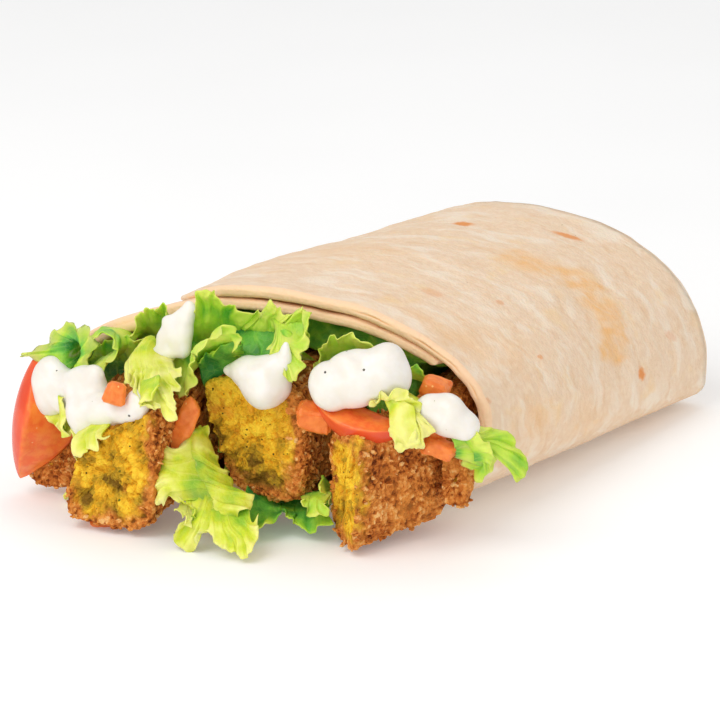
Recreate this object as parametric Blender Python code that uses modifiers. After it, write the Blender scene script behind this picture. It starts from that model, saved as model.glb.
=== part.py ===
"""A veggie burrito: crumbed vegetable strips, lettuce, tomato, carrot and a white sauce in a rolled tortilla.

The roll lies along Y on its flat underside (Z = 0), with its open mouth towards -Y and its far end folded shut.
Shapes are worked out in millimetres with the mouth at Y = 0. As each object is made, they are turned into metres and
moved so that the origin is the middle of the underside.
"""

import math
import random

import bmesh
import bpy
from mathutils import Matrix, Vector, noise

# Driving dimensions, in millimetres.
ROLL_LENGTH = 104.0
MOUTH_HALF_WIDTH = 45.0
MOUTH_HEIGHT = 45.0
END_HALF_WIDTH = 42.0
END_HEIGHT = 39.5
END_SHIFT = 8.0  # the roll leans towards +X as it goes back
MOUTH_WAIST = 22.0  # height at which the mouth is widest
END_WAIST = 7.0
MOUTH_SLANT = 8.0  # the mouth's edge is this much further back on the right than in the middle
LIP_LIFT = 2.5  # the bottom of the mouth curls up off the table
LIP_REACH = 14.0
SHEET = 2.1  # thickness of the tortilla
LAYER_GAP = 0.55  # between the two layers where they lie on each other
GAPE = 0.9  # how much further they part at the mouth
FIT = 0.35  # space kept between neighbouring pieces
LEAF = 0.8  # thickness of a lettuce leaf

MILLIMETRE = 0.001
REST_POINT = Vector((END_SHIFT / 2, ROLL_LENGTH / 2, 0.0))  # middle of the flat underside, made the origin
RIGHT, UP, LEFT = 0.0, 90.0, 180.0  # directions round the roll's section, in degrees
INNER_EDGE = 33.0  # where the sheet starts, inside the right shoulder
FLAP_EDGE = 478.0  # where it ends, after more than a full turn, on the top left
FLAP_BULGE = 26.0  # the sheet is a disc, so the flap reaches furthest half way along

COLOURS = {
    "tortilla": ((0.80, 0.64, 0.45), 0.75),
    "crust": ((0.48, 0.22, 0.06), 0.85),
    "lettuce": ((0.25, 0.50, 0.06), 0.45),
    "pale_lettuce": ((0.50, 0.68, 0.14), 0.45),
    "tomato": ((0.70, 0.09, 0.04), 0.25),
    "carrot": ((0.85, 0.22, 0.04), 0.45),
    "sauce": ((0.88, 0.85, 0.76), 0.25),
}


def clear_scene():
    for old in list(bpy.data.objects):
        bpy.data.objects.remove(old, do_unlink=True)


def mix(a, b, share):
    return a + (b - a) * share


def ease(share):
    share = min(max(share, 0.0), 1.0)
    return share * share * (3.0 - 2.0 * share)


def along(points, share):
    """Point at a share of the way along a smooth curve through the given points, or a little past its ends."""
    spans = len(points) - 1
    place = share * spans
    k = min(max(int(place), 0), spans - 1)
    t = place - k
    p1, p2 = Vector(points[k]), Vector(points[k + 1])
    p0 = Vector(points[k - 1]) if k > 0 else p1 * 2 - p2
    p3 = Vector(points[k + 2]) if k + 2 <= spans else p2 * 2 - p1
    return 0.5 * ((p1 * 2) + (p2 - p0) * t + (p0 * 2 - p1 * 5 + p2 * 4 - p3) * t * t
                  + (p1 * 3 - p0 - p2 * 3 + p3) * t ** 3)


def rough(point, grain):
    """Smooth noise between about -1 and 1, with bumps of the given size in millimetres."""
    return noise.noise(point / grain)


# ---------------------------------------------------------------- meshes


def surface(rows, closed=False):
    """Quads over rows of points. With closed, each row is a ring."""
    mesh = bmesh.new()
    grid = [[mesh.verts.new(p) for p in row] for row in rows]
    width = len(rows[0])
    for upper, lower in zip(grid, grid[1:]):
        for i in range(width if closed else width - 1):
            j = (i + 1) % width
            mesh.faces.new((upper[i], upper[j], lower[j], lower[i]))
    return mesh, grid


def loft(rings, start, end):
    """Closed solid through rings of points, with a fan to the point at each end."""
    mesh, grid = surface(rings, closed=True)
    for ring, tip in ((grid[0], start), (grid[-1], end)):
        middle = mesh.verts.new(tip)
        for i, vert in enumerate(ring):
            mesh.faces.new((middle, vert, ring[(i + 1) % len(ring)]))
    bmesh.ops.recalc_face_normals(mesh, faces=mesh.faces)
    return mesh


def to_object(mesh, name):
    data = bpy.data.meshes.new(name)
    mesh.to_mesh(data)
    mesh.free()
    piece = bpy.data.objects.new(name, data)
    bpy.context.scene.collection.objects.link(piece)
    return piece


def settle(piece):
    """Turns the piece's modifiers into its mesh."""
    graph = bpy.context.evaluated_depsgraph_get()
    data = bpy.data.meshes.new_from_object(piece.evaluated_get(graph))
    piece.modifiers.clear()
    piece.data = data


def thickened(mesh, thickness, name="sheet"):
    """Solid of even thickness centred on an open surface, both faces cut into triangles alike."""
    bmesh.ops.triangulate(mesh, faces=mesh.faces, quad_method="FIXED")
    piece = to_object(mesh, name)
    solid = piece.modifiers.new("thickness", "SOLIDIFY")
    solid.thickness = thickness
    solid.offset = 0.0
    settle(piece)
    return piece


def box_of(piece):
    corners = [v.co for v in piece.data.vertices]
    return [(min(c[k] for c in corners), max(c[k] for c in corners)) for k in range(3)]


def boxes_meet(first, second):
    pairs = zip(box_of(first), box_of(second))
    return all(a[0] < b[1] and b[0] < a[1] for a, b in pairs)


def is_closed(data):
    uses = {}
    for polygon in data.polygons:
        for key in polygon.edge_keys:
            uses[key] = uses.get(key, 0) + 1
    return len(uses) > 0 and all(count == 2 for count in uses.values())


def volume_of(data):
    mesh = bmesh.new()
    mesh.from_mesh(data)
    volume = mesh.calc_volume(signed=True)
    mesh.free()
    return volume


def islands_of(mesh):
    """The mesh's separate bodies, as lists of faces, smallest first."""
    left = set(mesh.faces)
    islands = []
    while left:
        stack = [left.pop()]
        island = list(stack)
        while stack:
            for edge in stack.pop().edges:
                for face in edge.link_faces:
                    if face in left:
                        left.remove(face)
                        stack.append(face)
                        island.append(face)
        islands.append(island)
    return sorted(islands, key=lambda faces: sum(f.calc_area() for f in faces))


def drop_scraps(mesh):
    for scrap in islands_of(mesh)[:-1]:
        bmesh.ops.delete(mesh, geom=scrap, context="FACES")
    loose = [v for v in mesh.verts if not v.link_faces]
    bmesh.ops.delete(mesh, geom=loose, context="VERTS")


def combine(piece, other, operation):
    """Boolean by the exact solver, or by the manifold one or with a nudge where that spoils the mesh."""
    before = piece.data
    volume = volume_of(before)
    limits = (0.0, volume) if operation == "DIFFERENCE" else (volume, volume + volume_of(other.data))
    tries = [(nudge, solver) for nudge in (0.0, 0.04, 0.08) for solver in ("EXACT", "MANIFOLD")]
    for nudge, solver in tries:
        other.location = (nudge, nudge, nudge)
        piece.data = before
        cut = piece.modifiers.new("cut", "BOOLEAN")
        cut.operation = operation
        cut.object = other
        cut.solver = solver
        settle(piece)
        mesh = bmesh.new()
        mesh.from_mesh(piece.data)
        drop_scraps(mesh)
        mesh.to_mesh(piece.data)
        mesh.free()
        if is_closed(piece.data) and limits[0] < volume_of(piece.data) < limits[1] * 1.001:
            break


def tidy_up(piece, flat_angle):
    """Joins the slivers that the cuts leave into flat faces."""
    tries = [(flat, method) for flat in (flat_angle, 0.5, 0.0) for method in ("BEAUTY", "EAR_CLIP")]
    for flat, method in tries:
        mesh = bmesh.new()
        mesh.from_mesh(piece.data)
        drop_scraps(mesh)
        if flat:
            bmesh.ops.remove_doubles(mesh, verts=mesh.verts, dist=0.004)
            bmesh.ops.dissolve_degenerate(mesh, edges=mesh.edges, dist=0.004)
            bmesh.ops.dissolve_limit(mesh, angle_limit=math.radians(flat), verts=mesh.verts, edges=mesh.edges)
        bmesh.ops.triangulate(mesh, faces=mesh.faces, ngon_method=method)
        data = bpy.data.meshes.new(piece.name)
        mesh.to_mesh(data)
        mesh.free()
        if is_closed(data):
            break
    piece.data = data


class Kitchen:
    """Puts the pieces together in order, so that each new one is cut back to clear what is already there."""

    def __init__(self):
        self.collection = bpy.data.collections.new("veggie_burrito")
        bpy.context.scene.collection.children.link(self.collection)
        self.materials = {}
        self.neighbours = []

    def material(self, name):
        if name not in self.materials:
            colour, roughness = COLOURS[name]
            made = bpy.data.materials.new(name)
            made.use_nodes = True
            shader = made.node_tree.nodes["Principled BSDF"]
            shader.inputs["Base Color"].default_value = (*colour, 1.0)
            shader.inputs["Roughness"].default_value = roughness
            self.materials[name] = made
        return self.materials[name]

    def add(self, name, shape, finish, flat_angle=4.0):
        """shape(grow) makes the piece's object, swollen by grow to make room round it."""
        piece = shape(0.0)
        for neighbour in self.neighbours:
            if boxes_meet(piece, neighbour):
                combine(piece, neighbour, "DIFFERENCE")
        tidy_up(piece, flat_angle)
        self.neighbours.append(shape(FIT))
        piece.name = name
        piece.data.name = name
        piece.data.materials.clear()
        piece.data.materials.append(self.material(finish))
        piece.data.transform(Matrix.Scale(MILLIMETRE, 4) @ Matrix.Translation(-REST_POINT))
        bpy.context.scene.collection.objects.unlink(piece)
        self.collection.objects.link(piece)
        return piece

    def clear_away(self):
        for neighbour in self.neighbours:
            bpy.data.objects.remove(neighbour, do_unlink=True)


# ---------------------------------------------------------------- tortilla


def roll_point(angle, back, depth=0.0):
    """Point of the roll's surface at an angle round its section, this far back, and this deep under the surface."""
    share = back / ROLL_LENGTH
    half = mix(MOUTH_HALF_WIDTH, END_HALF_WIDTH, share)
    height = mix(MOUTH_HEIGHT, END_HEIGHT, share)
    waist = mix(MOUTH_WAIST, END_WAIST, share)
    crown_power = mix(1.85, 2.2, share)
    base_power = mix(2.8, 3.4, share)
    c, s = math.cos(math.radians(angle)), math.sin(math.radians(angle))
    power = crown_power if s >= 0 else base_power
    across = math.copysign(abs(c) ** (2 / power), c)
    x = across * (half - depth)
    if s >= 0:
        z = waist + (height - waist - depth) * s ** (2 / power)
    else:
        z = max(waist - (waist + 0.6 - depth) * (-s) ** (2 / power), depth)
    y = back + MOUTH_SLANT * across * (1 - share)
    z += LIP_LIFT * (1 - ease(back / LIP_REACH)) * (1 - z / height)
    swell = 0.6 * rough(Vector((x, y, z)), 24.0) * ease(z / 9.0)
    away = Vector((x, 0.0, z - waist)).normalized()
    return Vector((x + END_SHIFT * share, y, z)) + away * swell


def flap_edge(back):
    share = back / ROLL_LENGTH
    return FLAP_EDGE + FLAP_BULGE * (1 - (2 * share - 1) ** 2)


def layer_gap(angle, back):
    open_here = math.exp(-((angle - 78.0) / 22.0) ** 2)
    return LAYER_GAP + GAPE * open_here * (1 - ease(back / 22.0))


def outer_depth(angle, back):
    """How far the sheet's outer face lies under the roll's surface: it starts inside and comes out to it."""
    seam = flap_edge(back) - 360.0
    under = SHEET + layer_gap(angle, back)
    return under * (1 - ease((angle - seam - 2.0) / 90.0))


def inner_depth(angle, back):
    """Depth of the innermost face of the wrap at an angle from 0 to 360."""
    lead = ease((angle - INNER_EDGE + 16.0) / 16.0)
    if angle < INNER_EDGE:
        return SHEET + lead * outer_depth(INNER_EDGE, back)
    return outer_depth(angle, back) + SHEET


def sheet(grow):
    turns, slices = 52, 8
    back_edge = ROLL_LENGTH - 3.0
    more = math.degrees(grow / MOUTH_HALF_WIDTH)
    rows = []
    for i in range(turns + 1):
        row = []
        for j in range(slices + 1):
            back = mix(-grow, back_edge, (j / slices) ** 1.15)
            angle = mix(INNER_EDGE - more, flap_edge(back) + more, i / turns)
            row.append(roll_point(angle, back, outer_depth(angle, back) - grow))
        rows.append(row)
    mesh, _ = surface(rows)
    piece = to_object(mesh, "sheet")
    solid = piece.modifiers.new("thickness", "SOLIDIFY")
    solid.thickness = SHEET + 2 * grow
    solid.offset = -1.0
    settle(piece)
    return piece


def folded_end(grow):
    """Plug at the far end: the bottom of the sheet folded up, and the top folded down over it."""
    around = 34
    steps = ((-8.0, 1.1), (-3.4, 1.1), (-3.1, 0.03), (-1.8, 0.35), (-0.7, 1.2), (0.0, 2.9))
    rings = []
    for ahead, inset in steps:
        back = ROLL_LENGTH + ahead
        seam = flap_edge(back) - 360.0
        ring = []
        for i in range(around):
            angle = seam + 3.0 + 354.0 * i / (around - 1)
            ring.append(roll_point(angle, back, outer_depth(angle, back) + inset - grow))
        rings.append(ring)
    middle = Vector((END_SHIFT, ROLL_LENGTH, 0.42 * END_HEIGHT))
    for share in (0.25, 0.5, 0.75):
        rings.append([end_relief(p.lerp(middle, share)) for p in rings[5]])
    start = middle - Vector((0, 8.0, 0))
    return to_object(loft(rings, start, end_relief(middle)), "end")


def end_relief(point):
    """The folded end is a little hollow, with the upper fold standing proud of the lower one."""
    fold = 0.46 * END_HEIGHT + 2.0 * math.sin((point.x - END_SHIFT) / 13.0)
    proud = ease((point.z - fold) / 2.5)
    out = Vector((point.x - END_SHIFT, 0, point.z - 0.42 * END_HEIGHT))
    hollow = 1.6 * ease(1 - out.length / (0.8 * END_HALF_WIDTH))
    return point + Vector((0, -1.4 * (1 - proud) - hollow + 0.4 * rough(point, 7.0), 0))


def tortilla(grow):
    piece = sheet(grow)
    end = folded_end(grow)
    combine(piece, end, "UNION")
    bpy.data.objects.remove(end, do_unlink=True)
    return piece


# ---------------------------------------------------------------- crumbed strips


def crumb(point):
    """Height of the crumb coat at a point."""
    return 0.55 * rough(point, 2.3) + 0.45 * rough(point + Vector((40, 0, 0)), 5.0)


def in_corners(corners, u, v):
    """Place in a four-cornered outline, with u and v from -1 to 1 across and up it."""
    low = corners[0].lerp(corners[1], (u + 1) / 2)
    high = corners[2].lerp(corners[3], (u + 1) / 2)
    return low.lerp(high, (v + 1) / 2)


def strip(path, size, broken, grow, near=None, around=24, taper=0.86):
    """Crumbed strip along a path of points, its near end broken across.

    size is half its width and half its height, broken is the slope of the broken face across the strip, and near
    the four corners of that face from the path: bottom left, bottom right, top left, top right.
    """
    length = (Vector(path[-1]) - Vector(path[0])).length
    marks = [0.0, 0.9, 2.6]
    while marks[-1] < length:
        marks.append(marks[-1] + (3.1 if marks[-1] < 24.0 else 16.0))
    marks[-1] = length
    square = [Vector((u * size[0], v * size[1])) for v in (-1, 1) for u in (-1, 1)]
    face = [Vector(corner) for corner in near] if near else square

    def section(mark, scale, swell, relief):
        centre = along(path, mark / length)
        narrow = scale * mix(1.0, taper, mark / length)
        corners = [a.lerp(b, ease(mark / 26.0)) for a, b in zip(face, square)]
        ring = []
        for i in range(around):
            angle = 2 * math.pi * (i + 0.5) / around
            c, s = math.cos(angle), math.sin(angle)
            u, v = (math.copysign(abs(part) ** 0.42, part) for part in (c, s))
            x, z = in_corners(corners, u, v) * narrow
            point = centre + Vector((x, broken * x * max(0.0, 1 - mark / 9.0), z))
            away = Vector((u, 0, v)).normalized()
            ring.append(point + away * (swell + relief * crumb(point)))
        return ring

    rings = []
    for scale in (0.34, 0.68):
        inner = section(0.0, scale, 0.0, 0.0)
        rings.append([p + Vector((0, 1.5 * rough(p, 4.5) - grow, 0)) for p in inner])
    rings.append([p - Vector((0, grow, 0)) for p in section(0.0, 0.93, grow, 0.7)])
    for mark in marks[1:-1]:
        rings.append(section(mark, 1.0, grow, 1.0 if mark < 30.0 else 0.6))
    rings.append(section(marks[-1] + grow, 0.9, grow, 0.4))
    start = along(path, 0.0) + Vector((0, 0.6 - grow, 0))
    return to_object(loft(rings, start, along(path, 1.0) + Vector((0, grow, 0))), "strip")


STRIPS = {
    "strip_left": dict(
        path=[(-18, -28, 12.8), (-19, -10, 15.8), (-19, 6, 17.4), (-15, 45, 16.2), (-10, 88, 13.8)],
        size=(9.8, 11.4), broken=0.10, near=[(-10.4, -11.0), (9.0, -11.4), (-7.6, 3.6), (10.0, 12.0)]),
    "strip_middle": dict(
        path=[(3.2, -10.5, 17.2), (4, 6, 18.0), (5.5, 45, 16.4), (9.5, 88, 13.8)],
        size=(10.6, 11.6), broken=-0.08, near=[(-3.8, -10.8), (10.4, -10.6), (-11.4, 11.2), (10.6, 11.8)]),
    "strip_right": dict(
        path=[(25.6, -14, 12.6), (29.6, -6, 13.8), (33.0, 3, 15.6), (33.8, 9, 17.2), (32.4, 20, 17.4),
              (30.5, 45, 16.4), (28.5, 88, 13.8)],
        size=(5.9, 11.2), broken=-0.85, near=[(-4.6, -10.6), (4.6, -11.6), (-5.6, 10.4), (5.4, 11.6)]),
    "strip_end": dict(
        path=[(-41.4, -12.5, 6.6), (-38.2, -4, 9.8), (-36.2, 8, 12.6), (-34.6, 22, 13.6)],
        size=(4.4, 5.0), broken=0.1, around=16),
    "strip_far_right": dict(
        path=[(43.2, -1.5, 14.4), (41.6, 6, 16.0), (40.0, 22, 16.4)],
        size=(2.4, 5.0), broken=0.1, around=14, taper=0.6),
}


def strip_box(name, back):
    """Centre, half width and half height of a strip this far back."""
    how = STRIPS[name]
    near, far = 0.0, 1.0
    for _ in range(24):
        middle = (near + far) / 2
        if along(how["path"], middle).y < back:
            near = middle
        else:
            far = middle
    narrow = mix(1.0, how.get("taper", 0.86), near)
    return along(how["path"], near), how["size"][0] * narrow, how["size"][1] * narrow


# ---------------------------------------------------------------- lettuce


def roof_angle(side, height, back, inset):
    """Angle, on the side given by RIGHT or LEFT, at which the space inside the roll is this high."""
    low, high = side, UP
    for _ in range(20):
        middle = (low + high) / 2
        if roll_point(middle, back, inner_depth(middle, back) + inset).z < height:
            low = middle
        else:
            high = middle
    return low


def bed(grow):
    """Shredded lettuce over and between the strips, from just inside the mouth to the folded end."""
    play = 1.5 - grow  # space over the strips' crumbs
    floor = SHEET + play + 0.6
    rings = []
    for back in (9.0, 10.5, 20.0, 38.0, 58.0, 78.0, 92.0, 93.0):
        inset = 0.7 - grow + (1.2 if back in (9.0, 93.0) else 0.0)
        left, middle, right = (strip_box(name, back) for name in ("strip_left", "strip_middle", "strip_right"))
        tops = [centre.z + half_height + play for centre, _, half_height in (left, middle, right)]
        first = roof_angle(RIGHT, tops[2] + 0.4, back, inset)
        last = roof_angle(LEFT, tops[0] + 0.4, back, inset)
        ring = []
        for i in range(15):
            angle = mix(first, last, i / 14)
            ring.append(roll_point(angle, back, inner_depth(angle, back) + inset))
        shelf = left[0].x + left[1] + play
        hang_left = middle[0].x + middle[1] + play
        hang_right = right[0].x - right[1] - play
        under = [(shelf, tops[0]), (shelf + 0.1, tops[1]), (hang_left, tops[1]), (hang_left + 0.1, floor),
                 (hang_right - 0.1, floor), (hang_right, tops[2])]
        slope = (ring[0].y - ring[-1].y) / (ring[0].x - ring[-1].x)
        ring += [Vector((x, ring[14].y + slope * (x - ring[14].x), z)) for x, z in under]
        if back == 9.0:
            ring = [p + Vector((0, 1.5 * rough(p, 5.0), 0)) for p in ring]
        rings.append(ring)
    start, finish = (ring[17].lerp(ring[20], 0.5) + Vector((0, 0, 1.5)) for ring in (rings[0], rings[-1]))
    return to_object(loft(rings, start, finish), "bed")


def leaf(root, middle, rim, ruffle, waves, grow, seed=0):
    """Thin wavy leaf from a hidden root line, over a middle line, to a frilly rim."""
    columns, rows = 2 * len(rim) + 4, 4
    wider = grow / (Vector(rim[-1]) - Vector(rim[0])).length
    longer = grow / (along(rim, 0.5) - along(root, 0.5)).length
    grid = []
    for j in range(rows + 1):
        v = mix(-longer, 1 + longer, j / rows)
        line = []
        for i in range(columns + 1):
            u = mix(-wider, 1 + wider, i / columns)
            a, b, c = along(root, u), along(middle, u), along(rim, u)
            point = a * ((1 - v) * (1 - 2 * v)) + b * (4 * v * (1 - v)) + c * (v * (2 * v - 1))
            lift = c - a
            tangent = along(rim, min(u + 0.05, 1.0)) - along(rim, max(u - 0.05, 0.0))
            normal = lift.cross(tangent).normalized()
            wave = math.sin(2 * math.pi * waves * u + seed) + 0.5 * math.sin(5.1 * math.pi * waves * u + 2 * seed)
            line.append(point + normal * (ruffle * wave * max(v, 0.0) ** 1.6))
        grid.append(line)
    mesh, _ = surface(grid)
    return thickened(mesh, LEAF + 2 * grow, "leaf")


LEAVES = {
    "leaf_top": dict(
        root=[(-18, 3, 30), (-10, 5, 29), (-1, 5, 30), (7, 3, 30)],
        middle=[(-16, -3, 36), (-9, -1, 35), (0, -2, 35.5), (8, -3, 35.5)],
        rim=[(-12, -9, 41), (-8, -9, 45), (-2, -7, 43), (3, -6, 44.5), (6, -6, 41.5), (10, -7, 45), (13.5, -8, 40)],
        ruffle=0.8, waves=3.0, finish="lettuce"),
    "leaf_fold": dict(
        root=[(-17, -3, 31), (-11, -3, 32), (-3.5, -3, 33)],
        middle=[(-15, -8, 29), (-10, -8, 30.5), (-2.5, -7, 32)],
        rim=[(-9, -15, 26), (-4, -15, 34), (2.5, -13, 40), (4.5, -11, 35)],
        ruffle=0.9, waves=1.7, finish="lettuce"),
    "leaf_left_curl": dict(
        root=[(-36.5, -6, 26.5), (-32, -4, 29), (-26, -3, 30.5)],
        middle=[(-41, -12.5, 30.5), (-35.5, -12, 34.5), (-27.5, -11.5, 33)],
        rim=[(-45, -16, 28), (-40.5, -15.5, 30), (-36.5, -17, 27), (-33.5, -17.5, 31.5), (-30.4, -19, 26.8),
             (-26.4, -18, 29.5)],
        ruffle=0.8, waves=1.6, finish="lettuce"),
    "leaf_dark_left": dict(
        root=[(-37, -2, 19), (-34, -1, 19), (-30, 0, 20)],
        middle=[(-36.5, -4, 24), (-33, -3, 25), (-29, -2, 25.5)],
        rim=[(-35, -6, 29.5), (-31, -6, 31), (-26.5, -5, 30)],
        ruffle=0.6, waves=1.2, finish="lettuce"),
    "leaf_small_frill": dict(
        root=[(-29, 0, 27), (-26, 1, 27), (-22, 0, 28)],
        middle=[(-27, -4, 32), (-24, -4, 32.5), (-20, -4, 33.5)],
        rim=[(-24.5, -9, 36.5), (-21.5, -9, 39.5), (-18.5, -9, 39.5)],
        ruffle=0.8, waves=1.6, finish="lettuce"),
    "leaf_over_sauce": dict(
        root=[(-22, -9, 31.5), (-18, -8, 32.5), (-13, -7, 32)],
        middle=[(-20, -16.5, 32), (-15, -17, 31.6), (-9.5, -16, 31.5)],
        rim=[(-19.5, -20, 29.5), (-15, -26, 27.5), (-9.5, -29, 26), (-6, -29, 24.6), (-2.7, -25, 27.5)],
        ruffle=1.0, waves=2.0, finish="pale_lettuce"),
    "leaf_right_of_top": dict(
        root=[(10, 3, 29.5), (14, 4, 30), (20, 5, 31)],
        middle=[(11, -2, 32), (16, -1, 33), (22, 0, 33.5)],
        rim=[(12, -6, 33.5), (18.5, -6, 38), (25, -5, 37)],
        ruffle=0.8, waves=1.5, finish="lettuce"),
    "leaf_hanging": dict(
        root=[(-6.0, -12, 22), (-6.2, -10, 17), (-6.0, -8, 11), (-2, -4, 6.5)],
        middle=[(-7.2, -20, 17), (-4.5, -20, 12), (1.5, -19, 8), (7, -14, 5.5)],
        rim=[(-10, -26, 16.5), (-8, -28, 8.5), (-5, -23, 8.0), (-4.3, -26, 3), (1.8, -30.5, 1.2), (6, -28, 4.2),
             (13.0, -29, 1.2), (13.5, -18, 4.0)],
        ruffle=0.9, waves=2.6, finish="pale_lettuce"),
    "leaf_under": dict(
        root=[(-5, 0, 5.6), (4, 1, 5.7), (15, 3, 5.9)],
        middle=[(-0.5, -5, 4.4), (7.5, -5, 4.6), (17, -5, 4.8)],
        rim=[(5, -14, 1.6), (12, -12, 2.2), (20.0, -12, 2.8)],
        ruffle=0.4, waves=1.6, finish="lettuce"),
    "leaf_pale_right": dict(
        root=[(30, -4, 30.5), (32.5, -3, 29.5), (36, -2, 28.5)],
        middle=[(29, -8, 30), (33, -8, 28.5), (38, -7, 27)],
        rim=[(28, -11, 31), (33, -13, 27), (37, -14.5, 22.5), (42.5, -11, 24)],
        ruffle=0.9, waves=1.8, finish="pale_lettuce"),
    "leaf_far_right": dict(
        root=[(43.6, -4.6, 22.2), (44.2, -4.2, 20.5), (45, -3.4, 18.5)],
        middle=[(46.5, -4, 24.5), (48.5, -3, 21.5), (49, -2, 17.5)],
        rim=[(49, -1, 25.5), (54, 2, 22.5), (55.5, 4, 15), (52.5, 2, 14.5), (50, -2, 13)],
        ruffle=0.9, waves=2.3, finish="lettuce"),
    "leaf_low_frill": dict(
        root=[(-36, -16, 22), (-31, -17, 23.5), (-25, -22, 24.8), (-19, -23, 26.6)],
        middle=[(-37.5, -18.5, 20), (-32, -21, 20), (-26, -28.6, 22), (-19.5, -30, 24.5)],
        rim=[(-39, -19.5, 18), (-35.5, -21, 14.5), (-31, -25, 15), (-26, -30.3, 15), (-21.5, -30.4, 17),
             (-18, -30.4, 21)],
        ruffle=0.5, waves=1.8, finish="pale_lettuce"),
    "leaf_low_left": dict(
        root=[(-29, -18, 5), (-28.5, -11, 5)],
        middle=[(-33, -18, 3.4), (-32, -12, 3.6)],
        rim=[(-35.5, -18, 1.6), (-35.5, -13, 1.6)],
        ruffle=0.2, waves=1.0, finish="pale_lettuce"),
    "leaf_between": dict(
        root=[(17.5, -8, 12), (18.5, -4, 7)],
        middle=[(18.5, -10, 12), (19.5, -7, 7)],
        rim=[(19.5, -12, 11.5), (20.5, -10, 7)],
        ruffle=0.2, waves=1.0, finish="lettuce"),
    "leaf_behind_sauce": dict(
        root=[(31, 2, 31), (36, 4, 30)],
        middle=[(31, 0, 33), (36, 1, 32)],
        rim=[(31, -3, 35), (36, -2, 34)],
        ruffle=0.3, waves=1.0, finish="lettuce"),
}


# ---------------------------------------------------------------- tomato, carrot and sauce


def wedge(start, end, bulge, radius, opening, grow):
    """Wedge of tomato between two tips. bulge points from the core to the middle of the skin."""
    start, end = Vector(start), Vector(end)
    axis = (end - start).normalized()
    out = (Vector(bulge) - axis * axis.dot(Vector(bulge))).normalized()
    side = axis.cross(out)
    half_length = (end - start).length / 2
    arc, rings = 9, []
    for k in range(1, 10):
        t = math.pi * k / 10
        centre = (start + end) / 2 - axis * (half_length * math.cos(t) * (1 + grow / half_length))
        reach = radius * math.sin(t) ** 0.8
        ring = [centre - out * (0.12 * radius + grow)]
        for i in range(arc):
            angle = math.radians(opening) * (i / (arc - 1) - 0.5)
            ring.append(centre + (out * math.cos(angle) + side * math.sin(angle)) * (reach + grow)
                        + side * math.copysign(grow, angle) * (i != arc // 2))
        rings.append(ring)
    return to_object(loft(rings, start - axis * grow, end + axis * grow), "wedge")


WEDGES = {
    "tomato_left": dict(start=(-46.5, -14.0, 2.6), end=(-36.0, -13.0, 25), bulge=(-0.9, -0.45, 0.1), radius=7.6,
                        opening=95.0),
    "tomato_right": dict(start=(17.0, -11.5, 29.0), end=(37.5, -10.5, 24.5), bulge=(0.15, 0.6, 0.75), radius=7.0,
                         opening=76.0),
}


def chip(centre, size, turn, seed, grow):
    """Slice of carrot: a small block with uneven corners and softened edges."""
    draw = random.Random(seed)
    mesh = bmesh.new()
    bmesh.ops.create_cube(mesh, size=1.0)
    for vert in mesh.verts:
        vert.co = Vector(c * (s + 2 * grow) for c, s in zip(vert.co, size))
        vert.co += Vector(draw.uniform(-0.13, 0.13) * s for s in size)
    bmesh.ops.bevel(mesh, geom=mesh.edges, offset=0.45, segments=1, affect="EDGES")
    turned = Matrix.Translation(centre) @ Matrix.Rotation(math.radians(turn[2]), 4, "Z") \
        @ Matrix.Rotation(math.radians(turn[1]), 4, "Y") @ Matrix.Rotation(math.radians(turn[0]), 4, "X")
    bmesh.ops.transform(mesh, matrix=turned, verts=mesh.verts)
    return to_object(mesh, "chip")


CHIPS = {
    "carrot_in_sauce": dict(centre=(-16.6, -28.4, 29.0), size=(4.4, 3.0, 4.2), turn=(-15, 20, 30), seed=3),
    "carrot_upright": dict(centre=(-7.9, -12.5, 20.5), size=(2.2, 9.0, 12.0), turn=(-24, 12, 20), seed=5),
    "carrot_between": dict(centre=(18.3, -9.5, 25.0), size=(7.0, 6.0, 4.4), turn=(18, 14, 25), seed=7),
    "carrot_back_right": dict(centre=(38.3, -1.0, 31.2), size=(5.5, 4.5, 3.2), turn=(5, 18, 20), seed=9),
    "carrot_under_sauce": dict(centre=(40.5, -7.0, 25.2), size=(7.5, 3.0, 3.0), turn=(10, 35, 10), seed=11),
    "carrot_low_right": dict(centre=(43.0, -8.0, 21.2), size=(6.0, 3.0, 3.8), turn=(10, 18, 15), seed=13),
    "carrot_under_left": dict(centre=(-22.5, -24.5, 0.9), size=(4.6, 3.4, 1.5), turn=(0, 0, 20), seed=15),
}


def pour(blobs, grow):
    """Spoonful of thick sauce: round blobs run together and smoothed."""
    mesh = bmesh.new()
    for centre, radii in blobs:
        place = Matrix.Translation(centre) @ Matrix.Diagonal((*(r + grow for r in radii), 1.0))
        bmesh.ops.create_icosphere(mesh, subdivisions=2, radius=1.0, matrix=place)
    piece = to_object(mesh, "sauce")
    skin = piece.modifiers.new("run_together", "REMESH")
    skin.mode = "VOXEL"
    skin.voxel_size = 1.9
    soft = piece.modifiers.new("soften", "SMOOTH")
    soft.factor = 0.5
    soft.iterations = 2
    settle(piece)
    return piece


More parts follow.
